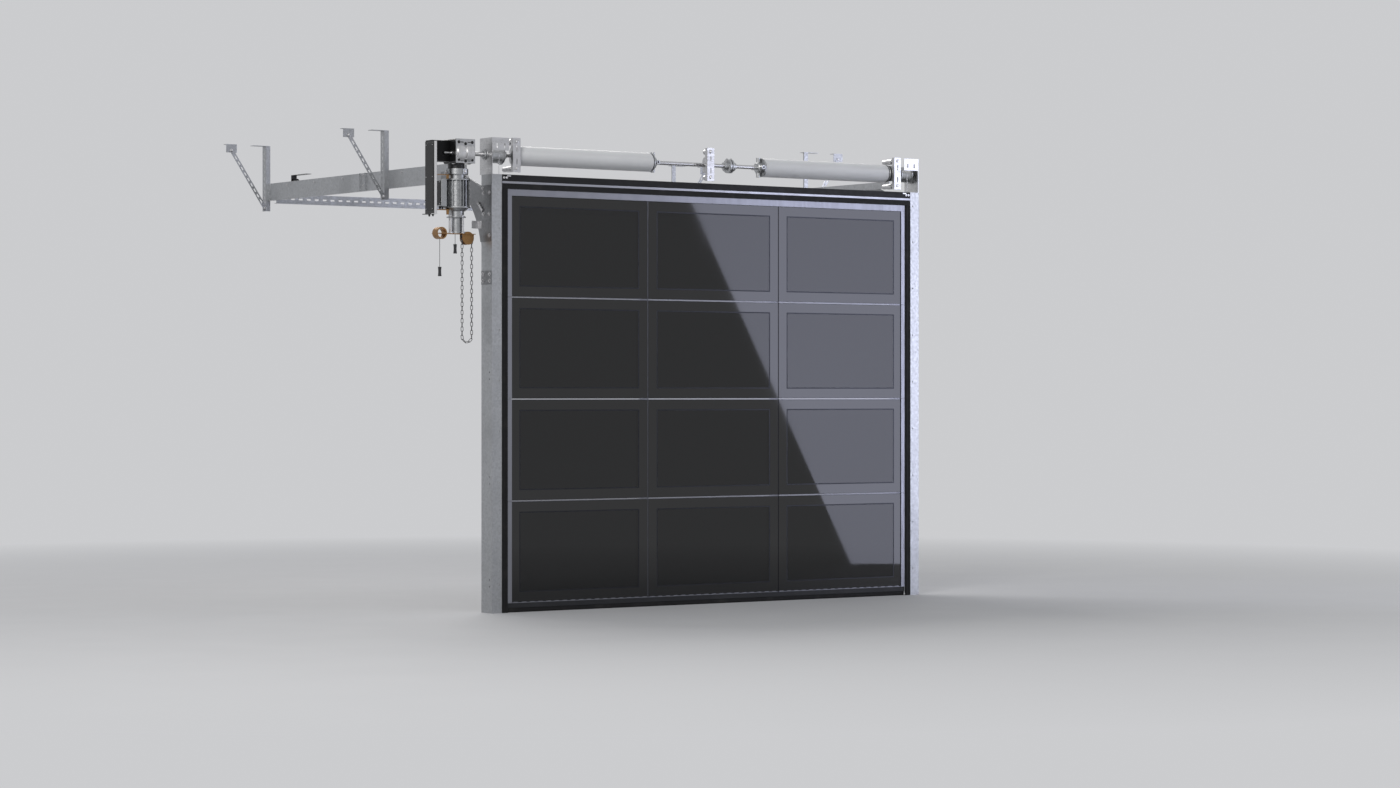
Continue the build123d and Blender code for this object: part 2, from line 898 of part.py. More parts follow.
def centre_hinge(x, level):
    """Hinge in the middle of a seam: two plates about a knuckle."""
    half = hinge_plate_height / 2
    left = x - centre_hinge_width / 2
    right = x + centre_hinge_width / 2
    hinge = block(left, right, frame_back, hinge_back, level - half, level - seam_gap)
    hinge += block(left, right, frame_back, hinge_back, level + seam_gap, level + half)
    hinge += rod_x(left, right, frame_back + centre_hinge_knuckle, level, centre_hinge_knuckle)
    return hinge


def bottom_bracket():
    """Corner bracket with the roller's ears and the pin that holds the lifting cable."""
    level = bottom_roller_level
    tip = track_centre_depth + ear_reach
    low = glass_foot - bottom_rail_height / 2
    high = low + corner_plate_height
    outline = [
        (frame_back, level - bottom_ear_height / 2),
        (tip, level - bottom_ear_height / 4),
        (tip, level + bottom_ear_height / 4),
        (frame_back, level + bottom_ear_height / 2),
    ]
    bracket = block(leaf_left - hinge_sheet, hinge_right, frame_back, hinge_back, low, high)
    bracket += block(leaf_left - hinge_sheet, leaf_left, frame_face, hinge_back, low, high)
    for x in (hinge_left, far_ear):
        bracket += hinge_ear(x, outline, level)
    pin_end = cable_x - cable_pin_overrun
    bracket += rod_x(pin_end, leaf_left, cable_y, cable_pin_level, cable_pin_radius)
    return bracket


def top_bracket():
    """Arm that reaches from the top section back to the roller in the curved track."""
    level = top_roller_level
    tip = track_y(level) + ear_reach
    high = leaf_top - top_plate_drop
    low = high - corner_plate_height
    outline = [
        (frame_back, low),
        (tip, level - top_arm_height / 2),
        (tip, level + top_arm_height / 2),
        (frame_back, high),
    ]
    bracket = block(hinge_left, hinge_right, frame_back, hinge_back, low, high)
    for x in (hinge_left, far_ear):
        bracket += hinge_ear(x, outline, level)
    return bracket


def lifting_cable():
    """Taut cable from the bottom bracket's pin up to the drum."""
    return rod_z(cable_x, cable_y, cable_pin_level + cable_pin_radius, shaft_level, cable_radius)


# Bearing plates and spring brackets


def bearing_plate():
    """End plate: a wall flange with two slots, the plate round the shaft and a foot on the frame."""
    flange_foot = shaft_level + bearing_flange_rise
    top = flange_foot + bearing_flange_height
    rear = shaft_depth + bearing_plate_reach
    plate = block(frame_sheet, bearing_end, 0, rear, frame_height, top)
    flange_end = frame_sheet + bearing_flange_width
    flange = block(frame_sheet, flange_end, 0, bearing_sheet, flange_foot, top)
    slot_level = (flange_foot + top) / 2 - bearing_slot_drop
    for share in bearing_slot_shares:
        slot_x = frame_sheet + bearing_flange_width * share
        flange -= block(
            slot_x - bearing_slot_width / 2,
            slot_x + bearing_slot_width / 2,
            -1,
            bearing_sheet + 1,
            slot_level - bearing_slot_length / 2,
            slot_level + bearing_slot_length / 2,
        )
    low = frame_height - bearing_foot_height
    foot = block(frame_sheet, bearing_end, bearing_foot_front, frame_depth, low, frame_height)
    return plate + flange + foot - shaft_bore(frame_sheet - 1, bearing_end + 1, hole_clearance)


def shaft_bearing():
    """Flanged bearing on the outer face of the bearing plate."""
    end = frame_sheet
    length = bearing_length
    flange = bearing_radius + bearing_flange
    return turned([
        (end - length, shaft_radius + running_gap),
        (end, shaft_radius + running_gap),
        (end, flange),
        (end - length / 4, flange),
        (end - length / 3, bearing_radius),
        (end - length, bearing_radius * 0.9),
    ])


def bracket_spacers(x, length):
    """Two stepped stand-offs behind a wall bar, above and below the shaft."""
    middle = bracket_foot + bracket_height / 2
    step = length / 3
    spacers = []
    for level in (middle - spacer_offset, middle + spacer_offset):
        neck = rod_y(x, bracket_sheet, bracket_sheet + step, level, spacer_neck_radius)
        body = rod_y(x, bracket_sheet + step, bracket_sheet + 2 * step, level, spacer_radius)
        cap = rod_y(x, bracket_sheet + 2 * step, bracket_sheet + length, level, spacer_cap_radius)
        spacers.append(neck + body + cap)
    return spacers


def wall_bar(start, spacer_length):
    """Upright channel with two slots and two stand-offs behind it."""
    end = start + bracket_width
    top = bracket_foot + bracket_height
    bar = block(start, end, 0, bracket_sheet, bracket_foot, top)
    for x in (start, end - bracket_sheet):
        bar += block(x, x + bracket_sheet, 0, bracket_leg, bracket_foot, top)
    middle_x = (start + end) / 2
    for side in (-1, 1):
        level = (bracket_foot + top) / 2 + side * bracket_slot_offset
        bar -= block(
            middle_x - bracket_slot_width / 2,
            middle_x + bracket_slot_width / 2,
            -1,
            bracket_sheet + 1,
            level - bracket_slot_length / 2,
            level + bracket_slot_length / 2,
        )
    return bar + bracket_spacers(middle_x, spacer_length)


def bored_plate(end):
    """Plate across the shaft, up to a place along it, with a clear hole for it."""
    start = end - bracket_sheet
    plate_top = shaft_level + anchor_half_height
    plate_low = shaft_level - anchor_half_height
    plate = block(start, end, bracket_sheet, shaft_depth + anchor_rear, plate_low, plate_top)
    rear_edges = plate.edges().filter_by(Axis.X).group_by(Axis.Y)[-1]
    plate = fillet(rear_edges, anchor_corner)
    return plate - shaft_bore(start - 1, end + 1, hole_clearance)


def spring_bracket():
    """Wall bar with the anchor plate that the spring's fixed cone is bolted to."""
    return wall_bar(bracket_start, end_spacer_length) + bored_plate(bracket_end)


def centre_bracket():
    """Wall bar near the middle of the door with a plate and a bush that the shaft turns in."""
    start = centre_bracket_start
    end = start + bracket_width
    bush_end = end - bracket_sheet
    bush = turned([
        (bush_end - bush_length, shaft_radius + running_gap),
        (bush_end, shaft_radius + running_gap),
        (bush_end, bearing_radius),
        (bush_end - bush_length, bearing_radius * 0.85),
    ])
    return wall_bar(start, centre_spacer_length) + bored_plate(end) + bush


# Springs, cones and shaft


def spring(start, end):
    """Closed outline of a torsion spring: the tube that its coils fill."""
    inner = spring_radius - spring_wire
    return turned([(start, inner), (end, inner), (end, spring_radius), (start, spring_radius)])


def stationary_cone():
    """Cone that holds the spring's fixed end on the anchor plate."""
    bore = shaft_radius + running_gap
    entry = spring_radius - spring_wire - cone_gap
    return turned([
        (bracket_end, bore),
        (spring_start + cone_entry, bore),
        (spring_start + cone_entry, entry - cone_taper),
        (spring_start, entry),
        (spring_start, spring_radius),
        (spring_start - cone_flange, spring_radius),
        (spring_start - cone_flange, stationary_neck),
        (bracket_end, stationary_neck),
    ])


def winding_cone(end):
    """Cone on the shaft at the spring's free end, with sockets for winding bars."""
    entry = spring_radius - spring_wire - cone_gap
    flange = end + cone_gap
    tail = flange + winding_cone_length
    body = turned([
        (end - cone_entry, shaft_radius),
        (tail, shaft_radius),
        (tail, winding_cone_neck - cone_taper),
        (tail - cone_taper, winding_cone_neck),
        (flange + cone_flange, winding_cone_neck),
        (flange + cone_flange, spring_radius),
        (flange, spring_radius),
        (flange, entry),
        (end - cone_entry, entry - cone_taper),
    ])
    middle = (flange + cone_flange + tail) / 2
    for turn in (0, 90, 180, 270):
        place = Pos(middle, shaft_depth, shaft_level) * Rot(turn, 0, 0)
        reach = winding_socket_reach
        inner = (winding_cone_neck + shaft_radius) / 2
        socket = Pos(0, 0, (inner + reach) / 2) * Cylinder(winding_socket_radius, reach - inner)
        bore = Pos(0, 0, reach) * Cylinder(winding_socket_bore, 2 * winding_socket_depth)
        body = body + place * socket - place * bore
    return body


def shaft():
    """Solid shaft from the operator to the right bearing, stepped at the left end."""
    left = shaft_left_end
    step = gearbox_left - shaft_stub_step
    return turned([
        (left, 0),
        (shaft_right_end, 0),
        (shaft_right_end, shaft_radius - 1),
        (shaft_right_end - 1, shaft_radius),
        (step, shaft_radius),
        (step, shaft_radius / 2),
        (left, shaft_radius / 2),
    ])


def cable_drum():
    """Grooved drum with rims and a tapered hub, bored for the shaft."""
    start = drum_start
    end = drum_start + drum_width
    pitch = (drum_width - 2 * drum_rim_width) / drum_groove_count
    barrel = drum_barrel_radius
    points = [(start, shaft_radius), (start, drum_rim_radius), (start + drum_rim_width, drum_rim_radius)]
    for number in range(drum_groove_count):
        x = start + drum_rim_width + number * pitch
        points.append((x, barrel))
        points.append((x + pitch / 2, barrel - drum_groove_depth))
    points.append((end - drum_rim_width, barrel))
    points.append((end - drum_rim_width, drum_rim_radius))
    points.append((end, drum_rim_radius))
    points.append((end, drum_cone_radius))
    points.append((end + drum_hub_length * 0.6, drum_hub_radius))
    points.append((end + drum_hub_length, drum_hub_radius))
    points.append((end + drum_hub_length, shaft_radius))
    drum = turned(points)
    screw = Cylinder(drum_hub_length / 8, drum_hub_radius / 2)
    return drum + Pos(end + drum_hub_length * 0.8, shaft_depth, shaft_level + drum_hub_radius) * screw


def coupling_half(side):
    """One flanged half of the coupling, with its hub away from the joint."""
    face = coupling_middle + side * coupling_gap / 2
    back = face + side * coupling_flange_width
    tail = back + side * coupling_hub_length
    return turned([
        (face, shaft_radius),
        (face, coupling_flange_radius),
        (back, coupling_flange_radius),
        (back, coupling_hub_radius),
        (tail, coupling_hub_radius - coupling_hub_taper),
        (tail, shaft_radius),
    ])


def shaft_coupling():
    """Two flanged halves joined by three bolts."""
    piece = coupling_half(-1) + coupling_half(1)
    reach = coupling_gap / 2 + coupling_flange_width + coupling_bolt_overrun
    for turn in (0, 120, 240):
        place = Pos(coupling_middle, shaft_depth, shaft_level) * Rot(turn, 0, 0)
        bolt = Rot(0, 90, 0) * Cylinder(coupling_bolt_radius, 2 * reach)
        piece += place * Pos(0, 0, coupling_bolt_circle) * bolt
    return piece


# Shaft operator


def gearbox():
    """Worm gearbox on the shaft's end with a side housing towards the control box."""
    body = block(gearbox_left, gearbox_right, gearbox_front, gearbox_rear, gearbox_foot, gearbox_top)
    body = fillet(body.edges().filter_by(Axis.Y), gearbox_corner)
    side = block(
        control_right,
        gearbox_left,
        shaft_depth - side_housing_before_shaft,
        shaft_depth + side_housing_behind_shaft,
        gearbox_foot + side_housing_margin,
        gearbox_top - side_housing_margin,
    )
    neck = rod_z(motor_x, motor_y, motor_flange_top, gearbox_foot, motor_neck_radius)
    return body + side + neck - shaft_bore(gearbox_left - 1, gearbox_right + 1, running_gap)


def gearbox_cover():
    """Front cover with two barrel-shaped bulges over the output shaft and corner screws."""
    front = gearbox_front - cover_sheet
    left = gearbox_left
    right = gearbox_right
    cover = block(left, right, front, gearbox_front, gearbox_foot, gearbox_top)
    middle = (left + right) / 2
    inner = cover_barrel_gap / 2
    for x0, x1 in ((left + cover_margin, middle - inner), (middle + inner, right - cover_margin)):
        barrel = rod_x(x0, x1, shaft_depth, shaft_level, cover_barrel_radius)
        cover += barrel & block(x0, x1, 0, gearbox_front, gearbox_foot, gearbox_top)
    inset = cover_screw_inset
    for x in (left + inset, right - inset):
        for level in (gearbox_foot + inset, gearbox_top - inset):
            cover += rod_y(x, front - cover_screw_height, front, level, cover_screw_radius)
    return cover


def control_box():
    """Slim upright housing beside the gearbox with a flange at its foot."""
    box = block(control_left, control_right, control_front, control_rear, control_foot, control_top)
    box = fillet(box.edges().filter_by(Axis.Z), control_corner)
    flange_left = control_left - control_flange
    flange_foot = control_foot - control_flange_sheet
    box += block(flange_left, control_right, control_front, control_rear, flange_foot, control_foot)
    return box


def drive_motor():
    """Upright motor: mounting flange, finned stator, end bell, brake and tail."""
    x, y = motor_x, motor_y
    motor = rod_z(x, y, motor_flange_foot, motor_flange_top, motor_flange_radius)
    motor += rod_z(x, y, motor_stator_top, motor_flange_foot, motor_collar_radius)
    motor += rod_z(x, y, motor_stator_foot, motor_stator_top, motor_core_radius)
    fin_length = motor_fin_reach - motor_core_radius * 0.9
    middle = (motor_stator_foot + motor_stator_top) / 2
    for number in range(motor_fin_count):
        place = Pos(x, y, middle) * Rot(0, 0, number * 360 / motor_fin_count)
        fin = Box(fin_length, motor_fin_width, motor_stator_length)
        motor += place * Pos(motor_fin_reach - fin_length / 2, 0, 0) * fin
    bell = Cone(motor_bell_radius - motor_bell_taper, motor_bell_radius, motor_bell_height)
    motor += Pos(x, y, (motor_bell_foot + motor_stator_foot) / 2) * bell
    motor += rod_z(x, y, motor_brake_foot, motor_bell_foot, motor_brake_radius)
    motor += rod_z(x, y, motor_foot, motor_brake_foot, motor_tail_radius)
    return motor


def terminal_box():
    """Terminal box on the motor's left side, on two bronze-coloured brackets."""
    right = motor_x - motor_fin_reach
    left = right - terminal_width
    half = terminal_depth / 2
    box = block(left, right, motor_y - half, motor_y + half, motor_stator_foot, motor_stator_top)
    return fillet(box.edges().filter_by(Axis.Z), terminal_corner)


def chain_guides():
    """Plate under the motor with the cord guide, the chain wheel and its guard."""
    level = motor_plate_level
    half = guide_plate_depth / 2
    y0 = motor_y - half
    y1 = motor_y + half
    plate_left = motor_x - guide_plate_left
    plate_right = motor_x + guide_plate_right
    piece = block(plate_left, plate_right, y0, y1, level, level + bracket_plate)
    inset = guide_drum_inset
    guide = rod_y(guide_x, y0 + inset, y1 - inset, level + bracket_plate, guide_drum_radius)
    guide -= rod_y(guide_x, y0, y1, level + bracket_plate, guide_drum_radius - guide_drum_wall)
    piece += guide
    slot_half = chain_wheel_radius + chain_radius + chain_slot_gap
    slot_y = chain_radius + chain_slot_gap
    piece -= block(
        chain_wheel_x - slot_half,
        chain_wheel_x + slot_half,
        motor_y - slot_y,
        motor_y + slot_y,
        level - 1,
        level + bracket_plate + 1,
    )
    half_wheel = chain_wheel_width / 2
    guard = chain_wheel_radius + guard_margin
    guard_left = chain_wheel_x - guard
    guard_right = chain_wheel_x + guard
    for y in (motor_y - half_wheel - bracket_plate, motor_y + half_wheel):
        back = y + bracket_plate
        piece += rod_y(chain_wheel_x, y, back, chain_wheel_level, guard)
        piece += block(guard_left, guard_right, y, back, chain_wheel_level, level)
    wheel_radius = chain_wheel_radius - chain_radius - cable_gap
    wheel = rod_y(chain_wheel_x, motor_y - half_wheel, motor_y + half_wheel, chain_wheel_level, wheel_radius)
    return piece + wheel


def hand_chain():
    """Endless hand chain as one loop: half a turn over the wheel and two straight strands."""
    radius = chain_wheel_radius
    left = chain_wheel_x - radius
    right = chain_wheel_x + radius
    strands = [
        rod_z(left, motor_y, chain_foot, chain_wheel_level, chain_radius),
        rod_z(right, motor_y, chain_foot, chain_wheel_level, chain_radius),
    ]
    ring = Rot(90, 0, 0) * Torus(radius, chain_radius)
    upper = ring & Pos(0, 0, radius) * Box(4 * radius, 4 * radius, 2 * radius)
    lower = ring & Pos(0, 0, -radius) * Box(4 * radius, 4 * radius, 2 * radius)
    loop = strands[0] + strands[1]
    loop += Pos(chain_wheel_x, motor_y, chain_wheel_level) * upper
    loop += Pos(chain_wheel_x, motor_y, chain_foot) * lower
    return loop


def pull_cord(x, foot, top):
    return rod_z(x, motor_y, foot, top, cord_radius)


def cord_handle(x, foot):
    half = handle_width / 2
    depth = handle_depth / 2
    handle = block(x - half, x + half, motor_y - depth, motor_y + depth, foot - handle_length, foot)
    return fillet(handle.edges().filter_by(Axis.Y), handle_corner)


def save_side_frames():
    save(side_frame(), "side_frame_left")
    save(across(side_frame()), "side_frame_right")
    save(both(joint_plate(), flag_plate()), "frame_plates")
    save(Compound([*both(side_seal()), head_seal()]), "door_seals")
    save(header_beam() + header_edge(), "header_beam")


def save_leaf():
    for row in range(section_count):
        save(section_frame(row), f"section_frame_{row + 1}")
        save(section_glass(row), f"section_glass_{row + 1}")
    rows = range(section_count)
    save(Compound([bar for row in rows for bar in pane_beads(row)]), "pane_beads")
    save(Compound([*both(*[edge_trim(row) for row in rows]), head_trim()]), "door_trims")
    save(bottom_rail(), "bottom_rail")
    save(bottom_seal(), "bottom_seal")
    levels = roller_levels()
    save(both(*[roller(level) for level in levels]), "track_rollers")
    seams = levels[1:-1]
    beads = [pane_start(column) for column in range(1, pane_columns)]
    ends = [end_hinge(level) for level in seams]
    middles = [centre_hinge(x, level) for level in seams for x in beads]
    save(Compound([*both(*ends), *middles]), "leaf_hinges")
    save(both(bottom_bracket(), top_bracket()), "corner_brackets")
    save(both(lifting_cable()), "lifting_cables")


def save_tracks():
    save(both(vertical_track()), "vertical_tracks")
    save(both(curved_track()), "curved_tracks")
    save(both(horizontal_track()), "horizontal_tracks")
    save(both(track_angle() + track_clamp()), "track_angles")
    save(both(end_stop()), "end_stops")
    save(both(*[hanger(depth) + hanger_brace(depth) for depth in hanger_depths]), "track_hangers")
    save(rear_cross_rail(), "rear_cross_rail")


def save_shaft_line():
    save(both(bearing_plate()), "bearing_plates")
    save(both(shaft_bearing()), "shaft_bearings")
    save(Compound([*both(spring_bracket()), centre_bracket()]), "spring_brackets")
    springs = [spring(spring_start, left_spring_end), across(spring(spring_start, right_spring_end))]
    save(Compound(springs), "torsion_springs")
    save(both(stationary_cone()), "stationary_cones")
    cones = [winding_cone(left_spring_end), across(winding_cone(right_spring_end))]
    save(Compound(cones), "winding_cones")
    save(shaft(), "shaft")
    save(shaft_coupling(), "shaft_coupling")
    save(both(cable_drum()), "cable_drums")


def save_operator():
    save(gearbox() + gearbox_cover(), "gearbox")
    save(control_box(), "control_box")
    save(drive_motor() + terminal_box(), "drive_motor")
    save(chain_guides(), "chain_guides")
    save(hand_chain(), "hand_chain")
    guide_foot = motor_plate_level + bracket_plate - guide_drum_radius
    long_cord_foot = motor_plate_level - long_cord_drop
    short_cord_foot = motor_plate_level - short_cord_drop
    save(pull_cord(guide_x, long_cord_foot, guide_foot - cable_gap), "pull_cord_long")
    save(pull_cord(short_cord_x, short_cord_foot, motor_plate_level - cable_gap), "pull_cord_short")
    handles = [cord_handle(guide_x, long_cord_foot), cord_handle(short_cord_x, short_cord_foot)]
    save(Compound(handles), "cord_handles")


def main():
    os.makedirs("parts", exist_ok=True)
    save_side_frames()
    save_leaf()
    save_tracks()
    save_shaft_line()
    save_operator()


main()
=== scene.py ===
# Looks for the glass sectional garage door: materials for every piece of the frame,
# coiled springs, a linked hand chain, twisted lifting cables, the operator's cases and
# the small fasteners, with a studio floor, lamps and the photograph's camera.
# Metres, in the frame of the solids: +X along the door, +Y into the garage, +Z up.

import json
from math import cos, pi, radians, sin

import bmesh
import bpy
from mathutils import Matrix, Vector


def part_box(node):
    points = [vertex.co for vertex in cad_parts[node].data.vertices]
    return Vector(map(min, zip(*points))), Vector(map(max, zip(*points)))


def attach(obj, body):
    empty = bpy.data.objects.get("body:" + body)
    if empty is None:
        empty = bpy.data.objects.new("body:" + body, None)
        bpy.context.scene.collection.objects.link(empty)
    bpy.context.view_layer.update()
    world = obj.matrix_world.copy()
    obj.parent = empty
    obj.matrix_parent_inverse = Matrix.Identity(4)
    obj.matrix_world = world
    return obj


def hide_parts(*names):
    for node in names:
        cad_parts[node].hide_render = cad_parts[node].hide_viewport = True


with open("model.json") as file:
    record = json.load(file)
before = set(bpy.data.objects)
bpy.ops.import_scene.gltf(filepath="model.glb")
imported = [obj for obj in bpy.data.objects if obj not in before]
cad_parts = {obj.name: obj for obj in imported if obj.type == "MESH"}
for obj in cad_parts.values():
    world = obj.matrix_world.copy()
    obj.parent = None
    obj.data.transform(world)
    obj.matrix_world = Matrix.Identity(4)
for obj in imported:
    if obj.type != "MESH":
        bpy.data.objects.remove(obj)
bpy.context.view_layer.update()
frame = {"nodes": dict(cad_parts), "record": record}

MM = 0.001
TAU = 2 * pi

# Camera of the photograph: level, 19.7 m away, a long lens
CAMERA_PLACE = (-10.226, -16.810, 1.306)
CAMERA_YAW = radians(34.92)
CAMERA_LENS = 84.9
CAMERA_SENSOR = 36.0
CAMERA_REACH = 200

# Lines that the pieces are set out from
FRAME_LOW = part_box("side_frame_left")[0]
FRAME_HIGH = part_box("side_frame_right")[1]
DOOR_CENTRE = (FRAME_LOW.x + FRAME_HIGH.x) / 2
SHAFT_LOW, SHAFT_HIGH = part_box("shaft")
SHAFT_Y = (SHAFT_LOW.y + SHAFT_HIGH.y) / 2
SHAFT_Z = (SHAFT_LOW.z + SHAFT_HIGH.z) / 2
X, Y, Z = Vector((1, 0, 0)), Vector((0, 1, 0)), Vector((0, 0, 1))

# The leaf's panes: three columns between its edge trims, four rows
PANE_FIELD = 20.5 * MM
PANE_COLUMNS = 3
PANE_ROWS = 4
LEAF_FACE = 10 * MM
LEAF_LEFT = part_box("section_frame_1")[0].x
PANE_START = LEAF_LEFT + PANE_FIELD
PANE_PITCH = 2 * (DOOR_CENTRE - PANE_START) / PANE_COLUMNS
PANE_SEAMS = [PANE_START + PANE_PITCH * k for k in range(1, PANE_COLUMNS)]
SEAM_HALF = 4.5 * MM
SEAM_COLOURS = [(0.10, 0.103, 0.12), (0.016, 0.016, 0.019)]

# Planes where the operator's finishes meet: behind the gear cover, at the black housing beside
# it and behind the control box's front, where the front's painted highlight ends
CASE_FRONT = 41.5 * MM
HOUSING_SIDE = -226.3 * MM
CONTROL_FRONT = 38.4 * MM
HAIR = 0.2 * MM


# Camera


def add_camera():
    data = bpy.data.cameras.new("photo_camera")
    data.lens = CAMERA_LENS
    data.sensor_width = CAMERA_SENSOR
    data.clip_end = CAMERA_REACH
    camera = bpy.data.objects.new("photo_camera", data)
    camera.location = CAMERA_PLACE
    camera.rotation_euler = (radians(90), 0, -CAMERA_YAW)
    bpy.context.collection.objects.link(camera)
    bpy.context.scene.camera = camera
    bpy.context.scene.view_settings.view_transform = "Standard"


# Materials


class Surface:
    """A procedural material built up from noise in the object's own coordinates."""

    def __init__(self, name, colour, metallic, roughness):
        self.material = bpy.data.materials.new(name)
        self.material.use_nodes = True
        tree = self.material.node_tree
        self.nodes = tree.nodes
        self.link = tree.links.new
        self.shader = tree.nodes["Principled BSDF"]
        self.shader.inputs["Base Color"].default_value = (*colour, 1)
        self.shader.inputs["Metallic"].default_value = metallic
        self.shader.inputs["Roughness"].default_value = roughness
        self.place = self.nodes.new("ShaderNodeTexCoord").outputs["Object"]

    def noise(self, scale, detail, stretch=None):
        texture = self.nodes.new("ShaderNodeTexNoise")
        texture.inputs["Scale"].default_value = scale
        texture.inputs["Detail"].default_value = detail
        place = self.place
        if stretch:
            mapping = self.nodes.new("ShaderNodeMapping")
            mapping.inputs["Scale"].default_value = stretch
            self.link(place, mapping.inputs["Vector"])
            place = mapping.outputs["Vector"]
        self.link(place, texture.inputs["Vector"])
        return texture.outputs["Fac"]

    def cells(self, scale):
        texture = self.nodes.new("ShaderNodeTexVoronoi")
        texture.inputs["Scale"].default_value = scale
        self.link(self.place, texture.inputs["Vector"])
        return texture.outputs["Color"]

    def ranged(self, value, low, high, new_low, new_high):
        node = self.nodes.new("ShaderNodeMapRange")
        sockets = ("From Min", "From Max", "To Min", "To Max")
        for socket, number in zip(sockets, (low, high, new_low, new_high)):
            node.inputs[socket].default_value = number
        self.link(value, node.inputs["Value"])
        return node.outputs["Result"]

    def tint(self, value, other, low, high):
        """Mixes towards another colour where the pattern is high, over what is there so far."""
        node = self.nodes.new("ShaderNodeMix")
        node.data_type = "RGBA"
        socket = self.shader.inputs["Base Color"]
        if socket.is_linked:
            self.link(socket.links[0].from_socket, node.inputs["A"])
        else:
            node.inputs["A"].default_value = socket.default_value
        node.inputs["B"].default_value = (*other, 1)
        self.link(self.ranged(value, low, high, 0, 1), node.inputs["Factor"])
        self.link(node.outputs["Result"], socket)

    def near(self, value, centre, half):
        """1 within a distance of a plane and 0 beyond it."""
        node = self.nodes.new("ShaderNodeMath")
        node.operation = "COMPARE"
        self.link(value, node.inputs[0])
        node.inputs[1].default_value = centre
        node.inputs[2].default_value = half
        return node.outputs["Value"]

    def along(self, axis):
        """The place along X, Y or Z."""
        split = self.nodes.new("ShaderNodeSeparateXYZ")
        self.link(self.place, split.inputs[0])
        return split.outputs[axis]

    def rough(self, noise, low, high):
        """Roughness from low to high by a noise, given as its scale, detail and stretch."""
        value = self.ranged(self.noise(*noise), 0.3, 0.7, low, high)
        self.link(value, self.shader.inputs["Roughness"])

    def bump(self, noise, strength, depth):
        """Fine relief from a noise, given as its scale, detail and stretch."""
        node = self.nodes.new("ShaderNodeBump")
        node.inputs["Strength"].default_value = strength
        node.inputs["Distance"].default_value = depth
        self.link(self.noise(*noise), node.inputs["Height"])
        self.link(node.outputs["Normal"], self.shader.inputs["Normal"])


def scaled(colour, factor):
    return tuple(channel * factor for channel in colour)


def zinc(name, colour, roughness, spangle):
    """Zinc-coated sheet: faint spangle, soft stains and a fine rolled grain."""
    surface = Surface(name, colour, 1.0, roughness)
    surface.tint(surface.cells(spangle), scaled(colour, 0.86), 0.2, 0.9)
    surface.tint(surface.noise(3.2, 6), scaled(colour, 0.74), 0.48, 0.80)
    surface.rough((spangle * 0.7, 3), roughness - 0.09, roughness + 0.12)
    surface.bump((420, 2, (1, 1, 0.15)), 0.05, 0.0003)
    return surface.material


def painted(name, colour, roughness, coat, grain, gloss=0.5):
    """Paint or powder coat: slight colour drift, orange-peel bump and rubbed spots."""
    surface = Surface(name, colour, 0.0, roughness)
    surface.shader.inputs["Specular IOR Level"].default_value = gloss
    surface.shader.inputs["Coat Weight"].default_value = coat
    surface.shader.inputs["Coat Roughness"].default_value = 0.18
    lighter = tuple(channel * 1.02 + 0.008 for channel in colour)
    surface.tint(surface.noise(5, 5), lighter, 0.45, 0.8)
    surface.rough((38, 4), roughness - 0.07, roughness + 0.10)
    surface.bump((grain, 2), 0.16, 0.0003)
    return surface.material


def cast_metal(name, colour, roughness, grain):
    """Die-cast aluminium: pebbled skin, dull patches and darker grime in between."""
    surface = Surface(name, colour, 1.0, roughness)
    surface.tint(surface.noise(14, 6), scaled(colour, 0.70), 0.50, 0.85)
    surface.tint(surface.noise(grain, 3), scaled(colour, 0.88), 0.40, 0.70)
    surface.rough((60, 4), roughness - 0.08, roughness + 0.12)
    surface.bump((grain, 2), 0.30, 0.0005)
    return surface.material


def drawn_metal(name, colour, roughness, stretch):
    """Drawn or turned bar: long fine scratches along it."""
    surface = Surface(name, colour, 1.0, roughness)
    surface.tint(surface.noise(30, 5, stretch), scaled(colour, 0.82), 0.42, 0.75)
    surface.rough((90, 4, stretch), roughness - 0.06, roughness + 0.12)
    surface.bump((260, 3, stretch), 0.10, 0.0002)
    return surface.material


def anodised(name, colour, roughness, stretch):
    surface = Surface(name, colour, 0.9, roughness)
    surface.tint(surface.noise(8, 4, stretch), scaled(colour, 0.88), 0.45, 0.75)
    surface.rough((120, 3, stretch), roughness - 0.05, roughness + 0.08)
    surface.bump((600, 2, stretch), 0.08, 0.0002)
    return surface.material


def rubber(name, colour):
    surface = Surface(name, colour, 0.0, 0.62)
    surface.shader.inputs["Specular IOR Level"].default_value = 0.2
    surface.tint(surface.noise(11, 5), (0.030, 0.029, 0.028), 0.52, 0.85)
    surface.rough((70, 4), 0.52, 0.74)
    surface.bump((340, 3), 0.25, 0.0004)
    return surface.material


def plastic(name, colour, roughness):
    surface = Surface(name, colour, 0.0, roughness)
    surface.tint(surface.noise(9, 4), tuple(channel * 0.9 + 0.012 for channel in colour), 0.45, 0.8)
    surface.rough((55, 3), roughness - 0.06, roughness + 0.1)
    surface.bump((700, 2), 0.12, 0.0002)
    return surface.material


def tinted_glass(name, colour):
    """Deep tinted pane: barely clear to look through, with faint wipe marks on its face."""
    surface = Surface(name, colour, 0.0, 0.02)
    surface.shader.inputs["Transmission Weight"].default_value = 1.0
    surface.shader.inputs["IOR"].default_value = 1.5
    surface.rough((2.2, 5, (1, 1, 0.35)), 0.012, 0.05)
    surface.tint(surface.noise(1.3, 3), scaled(colour, 0.90), 0.45, 0.8)
    return surface.material


